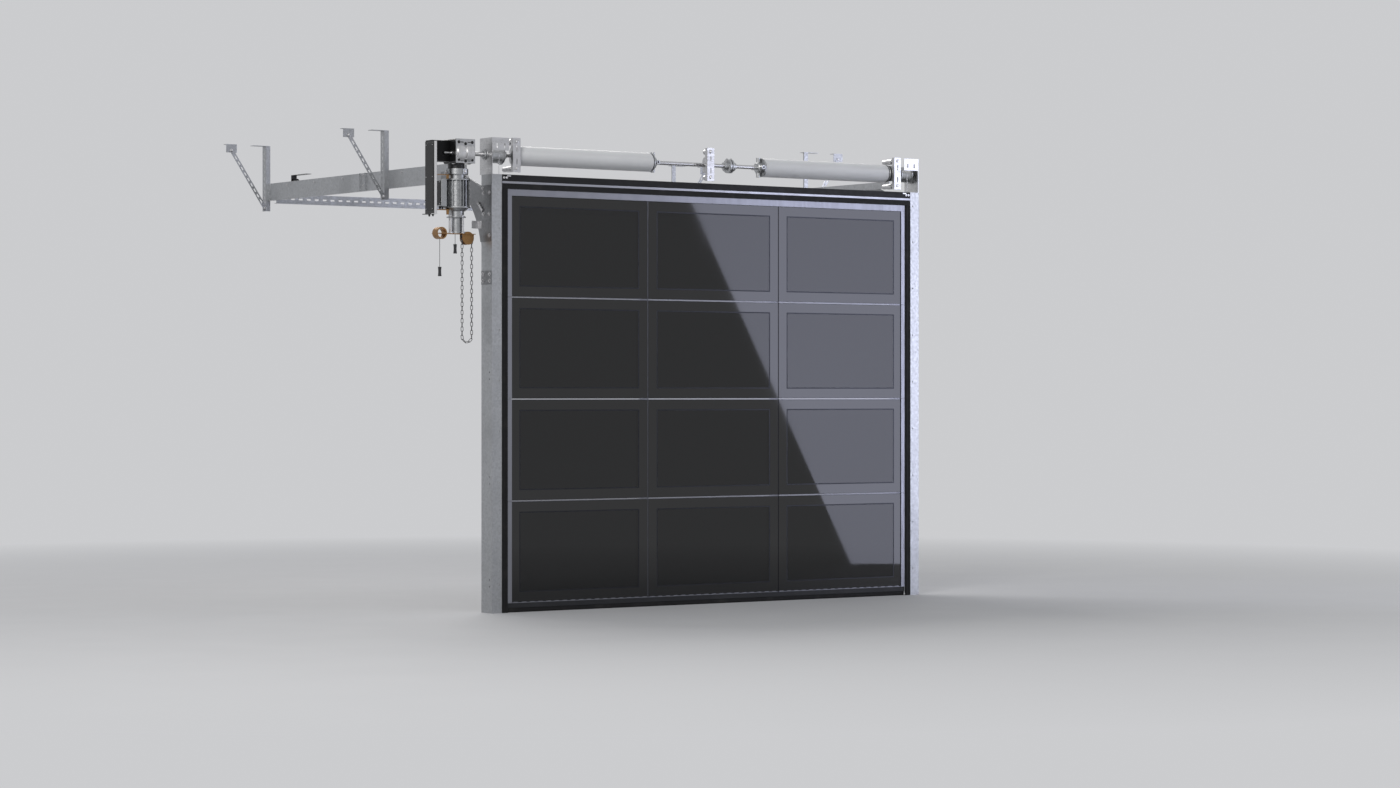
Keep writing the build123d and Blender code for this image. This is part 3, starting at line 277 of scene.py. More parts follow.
def operator_case():
    """Light cast cover on a dark gear case, with a black housing on its outer side."""
    surface = Surface("operator_case", (0.46, 0.465, 0.475), 0.85, 0.38)
    surface.tint(surface.noise(22, 5), (0.36, 0.365, 0.375), 0.45, 0.8)
    surface.tint(surface.along("Y"), (0.050, 0.050, 0.052), CASE_FRONT - HAIR, CASE_FRONT + HAIR)
    surface.tint(surface.along("X"), (0.014, 0.014, 0.015), HOUSING_SIDE + HAIR, HOUSING_SIDE - HAIR)
    surface.rough((60, 4), 0.30, 0.48)
    surface.bump((380, 2), 0.25, 0.0004)
    return surface.material


def control_case_painted_highlight():
    """Gloss black housing whose narrow front face is painted light grey: a painted highlight in place
    of the lamp's reflection on that face.
    """
    surface = Surface("control_case_painted_highlight", (0.014, 0.014, 0.015), 0.0, 0.30)
    surface.tint(surface.noise(8, 5), (0.030, 0.030, 0.032), 0.45, 0.8)
    # Painted highlight: the front face, ahead of the control box's front plane, is light grey.
    surface.tint(surface.along("Y"), (0.66, 0.66, 0.67), CONTROL_FRONT + HAIR, CONTROL_FRONT - HAIR)
    surface.rough((38, 4), 0.24, 0.38)
    surface.bump((500, 2), 0.16, 0.0003)
    return surface.material


def header_finish():
    """Matt black coat that hardly mirrors the room."""
    surface = Surface("header_coat", (0.010, 0.010, 0.011), 0.0, 0.5)
    surface.shader.inputs["Specular IOR Level"].default_value = 0.22
    surface.tint(surface.noise(5, 5), (0.018, 0.018, 0.020), 0.45, 0.8)
    surface.rough((38, 4), 0.42, 0.60)
    surface.bump((500, 2), 0.12, 0.0003)
    return surface.material


def bead_finish():
    """Light strips between the rows; the upright ones between the columns are darker."""
    surface = Surface("bead_strips", (0.26, 0.265, 0.30), 0.9, 0.36)
    surface.tint(surface.noise(8, 4, (0.1, 1, 1)), (0.21, 0.215, 0.25), 0.45, 0.75)
    for seam, colour in zip(PANE_SEAMS, SEAM_COLOURS):
        surface.tint(surface.near(surface.along("X"), seam, SEAM_HALF), colour, 0.4, 0.6)
    surface.rough((120, 3), 0.30, 0.44)
    surface.bump((600, 2, (0.1, 1, 1)), 0.06, 0.0002)
    return surface.material


def border_enamel():
    """Dark enamel border baked on the panes: a little more gloss than the tinted glass."""
    surface = Surface("border_enamel", (0.0030, 0.0030, 0.0034), 0.0, 0.03)
    surface.shader.inputs["Coat Weight"].default_value = 0.32
    surface.shader.inputs["Coat Roughness"].default_value = 0.02
    surface.tint(surface.noise(3, 4), (0.0050, 0.0050, 0.0054), 0.45, 0.8)
    surface.rough((2.2, 5, (1, 1, 0.35)), 0.02, 0.06)
    return surface.material


def make_materials():
    return {
        "galvanised_steel": zinc("galvanised_steel", (0.44, 0.45, 0.465), 0.38, 90),
        "bright_steel": drawn_metal("bright_steel", (0.58, 0.58, 0.59), 0.30, (0.2, 1, 1)),
        "spring_steel": painted("spring_steel", (0.72, 0.73, 0.745), 0.36, 0.3, 500),
        "cast_aluminium": cast_metal("cast_aluminium", (0.48, 0.49, 0.50), 0.38, 420),
        "light_aluminium": anodised("light_aluminium", (0.26, 0.265, 0.30), 0.36, (1, 1, 0.1)),
        "dark_aluminium": painted("dark_aluminium", (0.015, 0.016, 0.019), 0.42, 0.05, 900, 0.3),
        "black_steel": painted("black_steel", (0.010, 0.010, 0.011), 0.28, 0.1, 500, 0.32),
        "dark_glass": tinted_glass("dark_glass", (0.0040, 0.0042, 0.0046)),
        "black_rubber": rubber("black_rubber", (0.012, 0.012, 0.013)),
        "black_plastic": plastic("black_plastic", (0.025, 0.025, 0.027), 0.42),
        "nylon": plastic("nylon", (0.62, 0.61, 0.57), 0.40),
        "bronze_steel": anodised("bronze_steel", (0.32, 0.18, 0.075), 0.30, (1, 1, 0.4)),
    }


def make_own_finishes():
    """Finishes of nodes that differ from the rest of their slot."""
    return {
        "gearbox": operator_case(),
        "control_box": control_case_painted_highlight(),
        "header_beam": header_finish(),
        "pane_beads": bead_finish(),
        # Painted shade: the flag and joint plates get a darker zinc than the side frames.
        "frame_plates": zinc("plate_zinc_painted_shade", (0.27, 0.275, 0.285), 0.40, 90),
        "drive_motor": cast_metal("motor_case", (0.40, 0.41, 0.42), 0.32, 420),
    }


MATERIALS = make_materials()


def dress_nodes():
    own = make_own_finishes()
    for part in frame["record"]["subparts"]:
        node = frame["nodes"][part["node"]]
        finish = own.get(part["node"], MATERIALS[part["material_slot"]])
        if node.material_slots:
            for slot in node.material_slots:
                slot.material = finish
        else:
            node.data.materials.append(finish)


# Mesh helpers


SQUARE = ((-1, -1), (1, -1), (1, 1), (-1, 1))

# A washer's radius over its bolt's width and its bevel, and the bevel of the head
WASHER_SHARE, WASHER_BEVEL = 0.95, 0.93
WASHER_EDGE, WASHER_THICK = 1.0 * MM, 1.4 * MM
HEAD_EDGE, HEAD_BEVEL = 0.82, 0.84


def in_mm(points):
    """Points written in millimetres, as metres."""
    return [tuple(value * MM for value in point) for point in points]


def turn_to(axis):
    """Rotation that takes local Z to a direction."""
    return Vector(axis).to_track_quat("Z", "Y").to_matrix()


def add_box(mesh, low, high):
    low, high = Vector(low), Vector(high)
    made = bmesh.ops.create_cube(mesh, size=1.0)["verts"]
    for vertex in made:
        for k in range(3):
            vertex.co[k] = low[k] + (high[k] - low[k]) * (vertex.co[k] + 0.5)


def add_mm_box(mesh, across, deep, up):
    """A box from its (low, high) reach along X, Y and Z in millimetres."""
    low, high = in_mm(zip(across, deep, up))
    add_box(mesh, low, high)


def add_ring(mesh, place, rotation, along, radius, steps, phase=0.0):
    ring = []
    for step in range(steps):
        angle = TAU * (step + phase) / steps
        point = Vector((radius * cos(angle), radius * sin(angle), along))
        ring.append(mesh.verts.new(place + rotation @ point))
    return ring


def join_rings(mesh, first, second):
    count = len(first)
    for k in range(count):
        mesh.faces.new((first[k], first[(k + 1) % count], second[(k + 1) % count], second[k]))


def skin(mesh, rings, closed=False):
    """Faces between neighbouring rings, then a cap on each end or a join from last to first."""
    for first, second in zip(rings, rings[1:]):
        join_rings(mesh, first, second)
    if closed:
        join_rings(mesh, rings[-1], rings[0])
    else:
        mesh.faces.new(list(reversed(rings[0])))
        mesh.faces.new(rings[-1])


def add_lathe(mesh, points, place, axis, steps, closed=False):
    """A turned body from (along, radius) points; closed joins the last ring to the first."""
    rotation = turn_to(axis)
    place = Vector(place)
    rings = [add_ring(mesh, place, rotation, along, radius, steps) for along, radius in points]
    skin(mesh, rings, closed)


def add_sweep(mesh, centres, frames, outline, closed=False):
    """Carries an outline of (u, v) points along centres, each with its (u, v) directions."""
    rings = []
    for centre, (across, up) in zip(centres, frames):
        rings.append([mesh.verts.new(centre + across * u + up * v) for u, v in outline])
    skin(mesh, rings, closed)


def circle(radius, steps):
    return [(radius * cos(TAU * k / steps), radius * sin(TAU * k / steps)) for k in range(steps)]


def add_bolt(mesh, seat, axis, across, height):
    """Hexagon head on a washer; the seat is the face that it is tightened on."""
    rotation = turn_to(axis)
    seat = Vector(seat)
    washer = across * WASHER_SHARE
    outline = [(0, washer), (WASHER_EDGE, washer), (WASHER_THICK, washer * WASHER_BEVEL)]
    add_lathe(mesh, outline, seat, axis, 20)
    base = seat + rotation @ Vector((0, 0, WASHER_THICK))
    corner = across / 2 / cos(pi / 6)
    levels = [(0, corner), (height * HEAD_EDGE, corner), (height, corner * HEAD_BEVEL)]
    skin(mesh, [add_ring(mesh, base, rotation, along, radius, 6, 0.25) for along, radius in levels])


def add_plate(mesh, centre, axis, size):
    """A flat plate about its centre, with (across, up, thick) as size and the axis out of its face."""
    rotation = turn_to(axis)
    made = bmesh.ops.create_cube(mesh, size=1.0)["verts"]
    for vertex in made:
        vertex.co = Vector(centre) + rotation @ Vector([vertex.co[k] * size[k] for k in range(3)])


def add_rod(mesh, start, end, radius, steps=14):
    """A round rod with bevelled ends."""
    along = Vector(end) - Vector(start)
    length = along.length
    edge = min(radius * 0.25, length * 0.2)
    points = [(0, radius - edge), (edge, radius), (length - edge, radius), (length, radius - edge)]
    add_lathe(mesh, points, start, along, steps)


def new_object(name, mesh, material):
    data = bpy.data.meshes.new(name)
    mesh.to_mesh(data)
    mesh.free()
    data.materials.append(material)
    made = bpy.data.objects.new(name, data)
    bpy.context.collection.objects.link(made)
    return made


def make_piece(name, mesh, material, body="frame", bevel=0.0, angle=32, bevel_steps=2):
    """A smooth-shaded object from a mesh, with its edges rounded, that rides on a body."""
    bmesh.ops.recalc_face_normals(mesh, faces=mesh.faces)
    piece = new_object(name, mesh, material)
    if bevel:
        modifier = piece.modifiers.new("edges", "BEVEL")
        modifier.width = bevel
        modifier.segments = bevel_steps
        modifier.limit_method = "ANGLE"
        modifier.angle_limit = radians(angle)
    for polygon in piece.data.polygons:
        polygon.use_smooth = True
    piece.data.set_sharp_from_angle(angle=radians(angle))
    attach(piece, body)
    return piece


def show(name, mesh, slot, **shape):
    """Adds a piece that wears its slot's material."""
    piece = make_piece(name, mesh, MATERIALS[slot], **shape)
    return piece


def mirrored(x):
    return 2 * DOOR_CENTRE - x


def both_sides(x):
    return (x, mirrored(x))


# Torsion springs


SPRING_WIRE = 7 * MM
SPRING_STEPS = 30
SPRING_SLIM = 0.985


def spring_ends():
    """Where the left spring ends and the right one starts."""
    ends = [vertex.co.x for vertex in frame["nodes"]["torsion_springs"].data.vertices]
    return max(x for x in ends if x < DOOR_CENTRE), min(x for x in ends if x > DOOR_CENTRE)


def make_spring(name, start, end, radius, hand):
    """One close-wound spring: its wire as a helix round the shaft, coil against coil."""
    mesh = bmesh.new()
    half_wire = SPRING_WIRE / 2
    length = end - start - 2 * half_wire
    count = int(length / SPRING_WIRE * SPRING_STEPS)
    middle = radius - half_wire
    centres, frames = [], []
    for k in range(count + 1):
        angle = TAU * k / SPRING_STEPS * hand
        outward = Vector((0, cos(angle), sin(angle)))
        axis_point = Vector((start + half_wire + length * k / count, SHAFT_Y, SHAFT_Z))
        centres.append(axis_point + outward * middle)
        frames.append((X, outward))
    add_sweep(mesh, centres, frames, circle(half_wire * SPRING_SLIM, 6))
    piece = show(name, mesh, "spring_steel", angle=75)
    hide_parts("torsion_springs")


def make_springs():
    low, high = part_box("torsion_springs")
    radius = (high.z - low.z) / 2
    left_end, right_end = spring_ends()
    make_spring("spring_left", low.x, left_end, radius, 1)
    make_spring("spring_right", right_end, high.x, radius, -1)


# Hand chain


LINK_WIRE = 4.2 * MM
LINK_PITCH = 25 * MM
LINK_HALF_WIDTH = 6.4 * MM
BEND_STEPS = 6


def loop_place(distance, radius, top, foot, middle_x, y):
    """Place and direction along the chain's loop, from the top of its left strand down."""
    straight = top - foot
    half_loop = straight + pi * radius
    side, start, end = 1, top, foot
    if distance >= half_loop:
        side, start, end = -1, foot, top
        distance -= half_loop
    if distance < straight:
        return Vector((middle_x - side * radius, y, start - side * distance)), -Z * side
    angle = (distance - straight) / radius
    outward = Vector((-cos(angle), 0, -sin(angle))) * side
    return Vector((middle_x, y, end)) + outward * radius, Vector((sin(angle), 0, -cos(angle))) * side


def add_link(mesh, place, along, flat):
    """One oval link; flat is the direction that its width lies in."""
    straight = LINK_PITCH / 2 - LINK_HALF_WIDTH + LINK_WIRE / 2
    normal = along.cross(flat)
    centres, frames = [], []
    for end in (1, -1):
        for k in range(BEND_STEPS + 1):
            angle = pi * k / BEND_STEPS
            outward = (flat * cos(angle) + along * sin(angle)) * end
            centres.append(place + along * straight * end + outward * LINK_HALF_WIDTH)
            frames.append((outward, normal))
    add_sweep(mesh, centres, frames, circle(LINK_WIRE / 2, 6), closed=True)


def make_hand_chain():
    low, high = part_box("hand_chain")
    tube = (high.y - low.y) / 2
    radius = (high.x - low.x) / 2 - tube
    middle_x = (low.x + high.x) / 2
    top = high.z - tube - radius
    foot = low.z + tube + radius
    total = 2 * (top - foot) + TAU * radius
    count = 2 * round(total / LINK_PITCH / 2)
    y = (low.y + high.y) / 2
    mesh = bmesh.new()
    for k in range(count):
        place, along = loop_place(total * k / count, radius, top, foot, middle_x, y)
        sideways = along.cross(Y)
        flat = (Y + sideways) if k % 2 else (Y - sideways)
        add_link(mesh, place, along, flat.normalized())
    worn = drawn_metal("chain_steel", (0.20, 0.20, 0.205), 0.32, (1, 1, 0.4))
    piece = make_piece("chain_links", mesh, worn, angle=60)
    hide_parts("hand_chain")


# Lifting cables


CABLE_LOBES = 7
CABLE_GROOVE = 0.14
CABLE_STEPS = 28
CABLE_LAY = 34 * MM
CABLE_RISE = 5 * MM


def cable_outline(radius):
    """Section of a stranded cable: a circle with a groove between its lobes."""
    outline = []
    for k in range(CABLE_STEPS):
        angle = TAU * k / CABLE_STEPS
        size = radius * (1 - CABLE_GROOVE + CABLE_GROOVE * abs(cos(angle * CABLE_LOBES / 2)))
        outline.append((size * cos(angle), size * sin(angle)))
    return outline


def make_lifting_cables():
    """Each cable as one body with seven lobes, twisted along its length."""
    low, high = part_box("lifting_cables")
    radius = (high.y - low.y) / 2
    rings = int((high.z - low.z) / CABLE_RISE)
    places = (("lifting_cable_left", low.x + radius), ("lifting_cable_right", high.x - radius))
    outline = cable_outline(radius)
    for name, x in places:
        mesh = bmesh.new()
        centres, frames = [], []
        for k in range(rings + 1):
            z = low.z + (high.z - low.z) * k / rings
            twist = TAU * (z - low.z) / CABLE_LAY
            across = Vector((cos(twist), sin(twist), 0))
            centres.append(Vector((x, (low.y + high.y) / 2, z)))
            frames.append((across, Z.cross(across)))
        add_sweep(mesh, centres, frames, outline)
        piece = show(name, mesh, "bright_steel", angle=80)
        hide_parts("lifting_cables")


# Pull cords


CORD_WIDTH = 3 * MM
HANDLE_WIDTH = 22 * MM
HANDLE_WAIST = (0.22, 0.10)
HANDLE_LEVELS = 9


def make_cord(node, handle):
    """A limp cord that hangs straight down from its guide to its handle."""
    low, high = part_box(node)
    x, y = (low.x + high.x) / 2, (low.y + high.y) / 2
    curve = bpy.data.curves.new(node + "_line", "CURVE")
    curve.dimensions = "3D"
    curve.bevel_depth = CORD_WIDTH / 2
    curve.bevel_resolution = 3
    curve.use_fill_caps = True
    spline = curve.splines.new("NURBS")
    points = [(x, y, high.z + (low.z - high.z) * share) for share in (0, 0.25, 0.5, 0.75, 1)]
    spline.points.add(len(points) - 1)
    for point, place in zip(spline.points, points):
        point.co = (*place, 1)
    spline.order_u = 3
    spline.use_endpoint_u = True
    curve.materials.append(MATERIALS["black_plastic"])
    piece = bpy.data.objects.new(node + "_line", curve)
    bpy.context.collection.objects.link(piece)
    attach(piece, "frame")
    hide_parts(node)


def make_handle(name, cord_node, width, depth, height):
    """Moulded pull handle with waisted sides and rounded edges."""
    low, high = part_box(cord_node)
    x, y, top = (low.x + high.x) / 2, (low.y + high.y) / 2, low.z
    mesh = bmesh.new()
    rings = []
    for k in range(HANDLE_LEVELS):
        share = k / (HANDLE_LEVELS - 1)
        z = top - height * share
        half_x = width / 2 * (1 - HANDLE_WAIST[0] * sin(pi * share))
        half_y = depth / 2 * (1 - HANDLE_WAIST[1] * sin(pi * share))
        rings.append([mesh.verts.new((x + half_x * u, y + half_y * v, z)) for u, v in SQUARE])
    skin(mesh, rings)
    piece = show(name, mesh, "black_plastic", bevel=2.2 * MM, bevel_steps=3, angle=50)
    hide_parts("cord_handles")
    return piece


def make_pull_cords():
    low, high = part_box("cord_handles")
    depth = high.y - low.y
    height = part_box("pull_cord_long")[0].z - low.z
    for node, name in (("pull_cord_long", "handle_long"), ("pull_cord_short", "handle_short")):
        make_cord(node, make_handle(name, node, HANDLE_WIDTH, depth, height))


# Fasteners


# Bolts and screws: width across the flats and height of the head
HEAVY_BOLT = (13 * MM, 7 * MM)
MIDDLE_BOLT = (11 * MM, 6 * MM)
LIGHT_BOLT = (10 * MM, 5 * MM)
LEVER_BOLT = (9 * MM, 5 * MM)
SET_SCREW = (9 * MM, 9 * MM)
SHEET_SCREW = (8 * MM, 4.5 * MM)
HEADER_SCREW = (8 * MM, 4 * MM)
COUPLING_NUT = (15 * MM, 8.5 * MM)
FOOT_NUT = (16 * MM, 8 * MM)
HEAD_NUT = (14 * MM, 7 * MM)

# Bolts of each flag plate as (y, z) in millimetres, and of the joint plate below it
FLAG_BOLTS = ((25, 2250), (25, 2380), (25, 2505), (92, 2380), (92, 2505), (330, 2600), (470, 2632))
JOINT_PLATE_HEIGHT = 83 * MM
JOINT_BOLT_STEP = 38.7 * MM
JOINT_BOLT_EDGE = 20.75 * MM

# Slotted wall bars: half an end bar's width, the centre bar's offset and its bolts' distance
BAR_HALF = 26.5 * MM
CENTRE_BAR_OFFSET = 31 * MM
SPACER_OFFSET = 80 * MM

# Face of the plates on the leaf's back, and the hinges across the gap between two sections
PLATE_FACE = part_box("section_frame_1")[1].y + 3 * MM
HINGE_INSET = 36 * MM
HINGE_SCREW_RISE = 42 * MM
HINGE_SCREW_STEP = 18 * MM
SECTION_GAP_HALF = 1 * MM


def make_plate_bolts():
    """Bolts of the flag plates and the joint plates on the side frames."""
    frame_low, frame_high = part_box("side_frame_left")
    middle = (frame_low.y + frame_high.y) / 2
    low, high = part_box("frame_plates")
    rows = (low.z + JOINT_BOLT_EDGE, low.z + JOINT_PLATE_HEIGHT - JOINT_BOLT_EDGE)
    mesh = bmesh.new()
    for side, outer in ((-1, low.x), (1, high.x)):
        for y, z in FLAG_BOLTS:
            add_bolt(mesh, (outer, y * MM, z * MM), X * side, *HEAVY_BOLT)
        for y in (middle - JOINT_BOLT_STEP, middle + JOINT_BOLT_STEP):
            for z in rows:
                add_bolt(mesh, (outer, y, z), X * side, *HEAVY_BOLT)
    show("flag_plate_bolts", mesh, "bright_steel")


def make_bracket_bolts():
    """Bolts that hold the slotted wall bars on their stand-offs."""
    low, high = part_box("spring_brackets")
    middle = (low.z + high.z) / 2
    mesh = bmesh.new()
    for x in (low.x + BAR_HALF, DOOR_CENTRE - CENTRE_BAR_OFFSET, high.x - BAR_HALF):
        for z in (middle - SPACER_OFFSET, middle + SPACER_OFFSET):
            add_bolt(mesh, (x, low.y, z), -Y, *HEAVY_BOLT)
    show("bracket_bolts", mesh, "bright_steel")


def make_hinge_screws():
    """Four screws in each hinge on the leaf's back."""
    columns = [*both_sides(LEAF_LEFT + HINGE_INSET), *PANE_SEAMS]
    mesh = bmesh.new()
    for row in range(2, PANE_ROWS + 1):
        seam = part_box(f"section_frame_{row}")[0].z - SECTION_GAP_HALF
        for x in columns:
            for lift in (-HINGE_SCREW_RISE, HINGE_SCREW_RISE):
                for step in (-HINGE_SCREW_STEP, HINGE_SCREW_STEP):
                    add_bolt(mesh, (x + step, PLATE_FACE, seam + lift), Y, *SHEET_SCREW)
    show("hinge_screws", mesh, "bright_steel")


# Shaft line


COUPLING_CIRCLE = 36 * MM
COUPLING_FACE = 15 * MM
COUPLING_TURNS = (0, 120, 240)
CONE_NECK = 34 * MM
CONE_SCREW_PLACE = 24 * MM
CONE_SCREW_TURNS = (45, 225)
CONE_SCREW_SINK = 0.6 * MM


def make_coupling_nuts():
    """Nuts on both faces of the coupling's bolts; they turn with the shaft."""
    low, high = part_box("shaft_coupling")
    middle = (low.x + high.x) / 2
    mesh = bmesh.new()
    for turn in COUPLING_TURNS:
        angle = radians(turn)
        y = SHAFT_Y - COUPLING_CIRCLE * sin(angle)
        z = SHAFT_Z + COUPLING_CIRCLE * cos(angle)
        for side in (-1, 1):
            add_bolt(mesh, (middle + side * COUPLING_FACE, y, z), X * side, *COUPLING_NUT)
    show("coupling_nuts", mesh, "bright_steel", body="torsion_shaft")


def make_cone_screws():
    """Set screws of the winding cones; they turn with the shaft."""
    left_end, right_end = spring_ends()
    mesh = bmesh.new()
    for x in (left_end + CONE_SCREW_PLACE, right_end - CONE_SCREW_PLACE):
        for turn in CONE_SCREW_TURNS:
            outward = Vector((0, cos(radians(turn)), sin(radians(turn))))
            seat = Vector((x, SHAFT_Y, SHAFT_Z)) + outward * CONE_NECK
            add_bolt(mesh, seat - outward * CONE_SCREW_SINK, outward, *SET_SCREW)
    show("cone_screws", mesh, "bright_steel", body="torsion_shaft")


# Operator: gear cover


HUB_LEFT, HUB_RIGHT = -222 * MM, -98 * MM
HUB_RADIUS = 58 * MM
HUB_BORE = 30 * MM
HUB_EDGE = 1.5 * MM
HUB_STEPS = 72
COLLAR_RADIUS = 66 * MM
COLLAR_WIDTH = 50 * MM
COLLAR_INSET = 6 * MM

# The cover's screws, and its vent slots with black plates that paint their shade, as (x, z) in
# millimetres on its face
COVER_FACE = 36 * MM
COVER_SCREWS = ((-206, 2695), (-206, 2799), (-114, 2695), (-114, 2799), (-160, 2688), (-160, 2790))
COVER_SLOTS = ((-184, 2799), (-136, 2799), (-184, 2688), (-136, 2688))
SLOT_SIZE = (22 * MM, 5 * MM, 0.8 * MM)


def make_gear_hub():
    """The hollow shaft's hub that bulges through the gear cover, with a collar near each end."""
    left_collar = HUB_LEFT + COLLAR_INSET
    right_collar = HUB_RIGHT - COLLAR_INSET - COLLAR_WIDTH
    mesh = bmesh.new()
    for left, width, radius in (
        (HUB_LEFT, HUB_RIGHT - HUB_LEFT, HUB_RADIUS),
        (left_collar, COLLAR_WIDTH, COLLAR_RADIUS),
        (right_collar, COLLAR_WIDTH, COLLAR_RADIUS),
    ):
        points = [(0, HUB_BORE), (0, radius - HUB_EDGE), (HUB_EDGE, radius)]
        points += [(width - HUB_EDGE, radius), (width, radius - HUB_EDGE), (width, HUB_BORE)]
        add_lathe(mesh, points, (left, SHAFT_Y, SHAFT_Z), X, HUB_STEPS, closed=True)
    hub = drawn_metal("gear_hub", (0.66, 0.66, 0.67), 0.32, (1, 0.3, 0.3))
    make_piece("gear_hub", mesh, hub)


def make_cover_details():
    """Dark screws on the gear case's light cover, and black plates over its vent slots that paint the
    shade inside them.
    """
    mesh = bmesh.new()
    for x, z in COVER_SCREWS:
        add_bolt(mesh, (x * MM, COVER_FACE, z * MM), -Y, *LIGHT_BOLT)
    show("cover_screws", mesh, "black_steel")
    # Painted shade: black plates on the cover's face stand in for the dark inside the vent slots.
    mesh = bmesh.new()
    for x, z in COVER_SLOTS:
        add_plate(mesh, (x * MM, COVER_FACE, z * MM), -Y, SLOT_SIZE)
    show("cover_slot_painted_shade", mesh, "black_steel", bevel=0.3 * MM)


# Operator: motor


MOTOR_X, MOTOR_Y = -165 * MM, 136 * MM
MOTOR_FOOT = 2261 * MM
FLANGE_RADIUS = 72 * MM
FLANGE_MIDDLE = 2628 * MM
BOSS_SIZE = (32 * MM, 28 * MM, 10 * MM)
BOSS_TURNS = (12, 102, 192, 282)

# Rings as (along, radius) in millimetres, and the levels that they sit at
STATOR_RING = ((0, 60), (0, 84), (1, 85), (8, 85), (9, 84), (9, 60))
STATOR_RING_LEVELS = (2411 * MM, 2575 * MM)
TAIL_RING = ((0, 40), (0, 58), (6, 58), (6, 40))
TAIL_RING_LEVEL = 2355 * MM

ROD_CIRCLE = 50 * MM
ROD_RADIUS = 6.5 * MM
ROD_TOP = 2356 * MM
ROD_NUT_LEVEL = 2361 * MM
ROD_TURNS = (20, 110, 200, 290)


def round_motor(radius, turn):
    """A place round the motor's axis, at the floor's level."""
    angle = radians(turn)
    return Vector((MOTOR_X + radius * cos(angle), MOTOR_Y + radius * sin(angle), 0))


def make_motor_details():
    """Bosses round the flange, rings at the stator's ends and tie rods beside the tail."""
    cast = cast_metal("motor_fittings", (0.40, 0.41, 0.42), 0.34, 420)
    bosses, bolts = bmesh.new(), bmesh.new()
    middle = Z * FLANGE_MIDDLE
    boss_face = FLANGE_RADIUS + BOSS_SIZE[2] / 2
    for turn in BOSS_TURNS:
        outward = round_motor(1, turn) - round_motor(0, turn)
        add_plate(bosses, round_motor(FLANGE_RADIUS, turn) + middle, outward, BOSS_SIZE)
        add_bolt(bolts, round_motor(boss_face, turn) + middle, outward, *MIDDLE_BOLT)
    for level in STATOR_RING_LEVELS:
        add_lathe(bosses, in_mm(STATOR_RING), (MOTOR_X, MOTOR_Y, level), Z, 56, closed=True)
    add_lathe(bosses, in_mm(TAIL_RING), (MOTOR_X, MOTOR_Y, TAIL_RING_LEVEL), Z, 48, closed=True)
    for turn in ROD_TURNS:
        foot = round_motor(ROD_CIRCLE, turn)
        add_rod(bolts, foot + Z * MOTOR_FOOT, foot + Z * ROD_TOP, ROD_RADIUS)
        add_bolt(bolts, foot + Z * MOTOR_FOOT, Z, *FOOT_NUT)
        add_bolt(bolts, foot + Z * ROD_NUT_LEVEL, Z, *HEAD_NUT)
    make_piece("motor_bosses", bosses, cast, bevel=0.8 * MM)
    show("motor_tie_rods", bolts, "bright_steel")


# Operator: brackets, release link, lids and glands


# T-shaped brackets in millimetres: the arm's and the leg's reach, and each one's levels
ARM_X, ARM_Y = (-286, -222), (116, 156)
LEG_X, LEG_Y = (-244, -227), (116, 120)
BRACKET_LEVELS = ((2606.5, 2611, 2577), (2398, 2402.5, 2371))


def make_operator_brackets():
    """Two bronze T-shaped brackets beside the motor, one under its flange and one on its bell."""
    mesh = bmesh.new()
    for arm_foot, arm_top, leg_foot in BRACKET_LEVELS:
        add_mm_box(mesh, ARM_X, ARM_Y, (arm_foot, arm_top))
        add_mm_box(mesh, LEG_X, LEG_Y, (leg_foot, arm_foot + 1))
    show("operator_brackets", mesh, "bronze_steel", bevel=0.8 * MM)


# Release link, with its places in millimetres: the stub on the motor's collar, the rod and its
# bolt on the flag plate's face, the lever with its half widths, and the tab's two plates
LINK_FACE = -3
STUB = ((-128, 100, 2597), (-102, 100, 2597))
STUB_RADIUS = 9 * MM
LINK_ROD = ((-106, 100, 2596), (LINK_FACE, 100, 2536))
LINK_ROD_RADIUS = 2.2 * MM
LINK_BOLT = (LINK_FACE * MM, 100 * MM, 2534 * MM)
LEVER_TOP, LEVER_FOOT = (0, 147, 2451), (0, 96, 2399)
LEVER_HALVES = (6 * MM, 9 * MM)
LEVER_THICK = 8
LEVER_BOLT_PLACE = 9 * MM
LINK_TAB_PLATES = (((-56, LINK_FACE), (138, 141)), ((-6, LINK_FACE), (112, 140)))
LINK_TAB_LEVELS = (2295, 2341)


def make_release_link():
    """Link from the motor's collar to the flag plate, with the lever and tab on that plate."""
    mesh = bmesh.new()
    add_rod(mesh, *in_mm(STUB), STUB_RADIUS, 20)
    add_rod(mesh, *in_mm(LINK_ROD), LINK_ROD_RADIUS)
    add_bolt(mesh, LINK_BOLT, -X, *MIDDLE_BOLT)
    top, foot = (Vector(point) for point in in_mm((LEVER_TOP, LEVER_FOOT)))
    along = (foot - top).normalized()
    across = along.cross(X)
    top_half, foot_half = LEVER_HALVES
    outline = [top + across * top_half, top - across * top_half]
    outline += [foot - across * foot_half, foot + across * foot_half]
    front_x, back_x = X * (LINK_FACE - LEVER_THICK) * MM, X * LINK_FACE * MM
    front = [mesh.verts.new(point + front_x) for point in outline]
    back = [mesh.verts.new(point + back_x) for point in outline]
    skin(mesh, [front, back])
    add_bolt(mesh, top + along * LEVER_BOLT_PLACE + front_x, -X, *LEVER_BOLT)
    for across_x, deep_y in LINK_TAB_PLATES:
        add_mm_box(mesh, across_x, deep_y, LINK_TAB_LEVELS)
    show("release_link", mesh, "bright_steel", bevel=0.7 * MM)


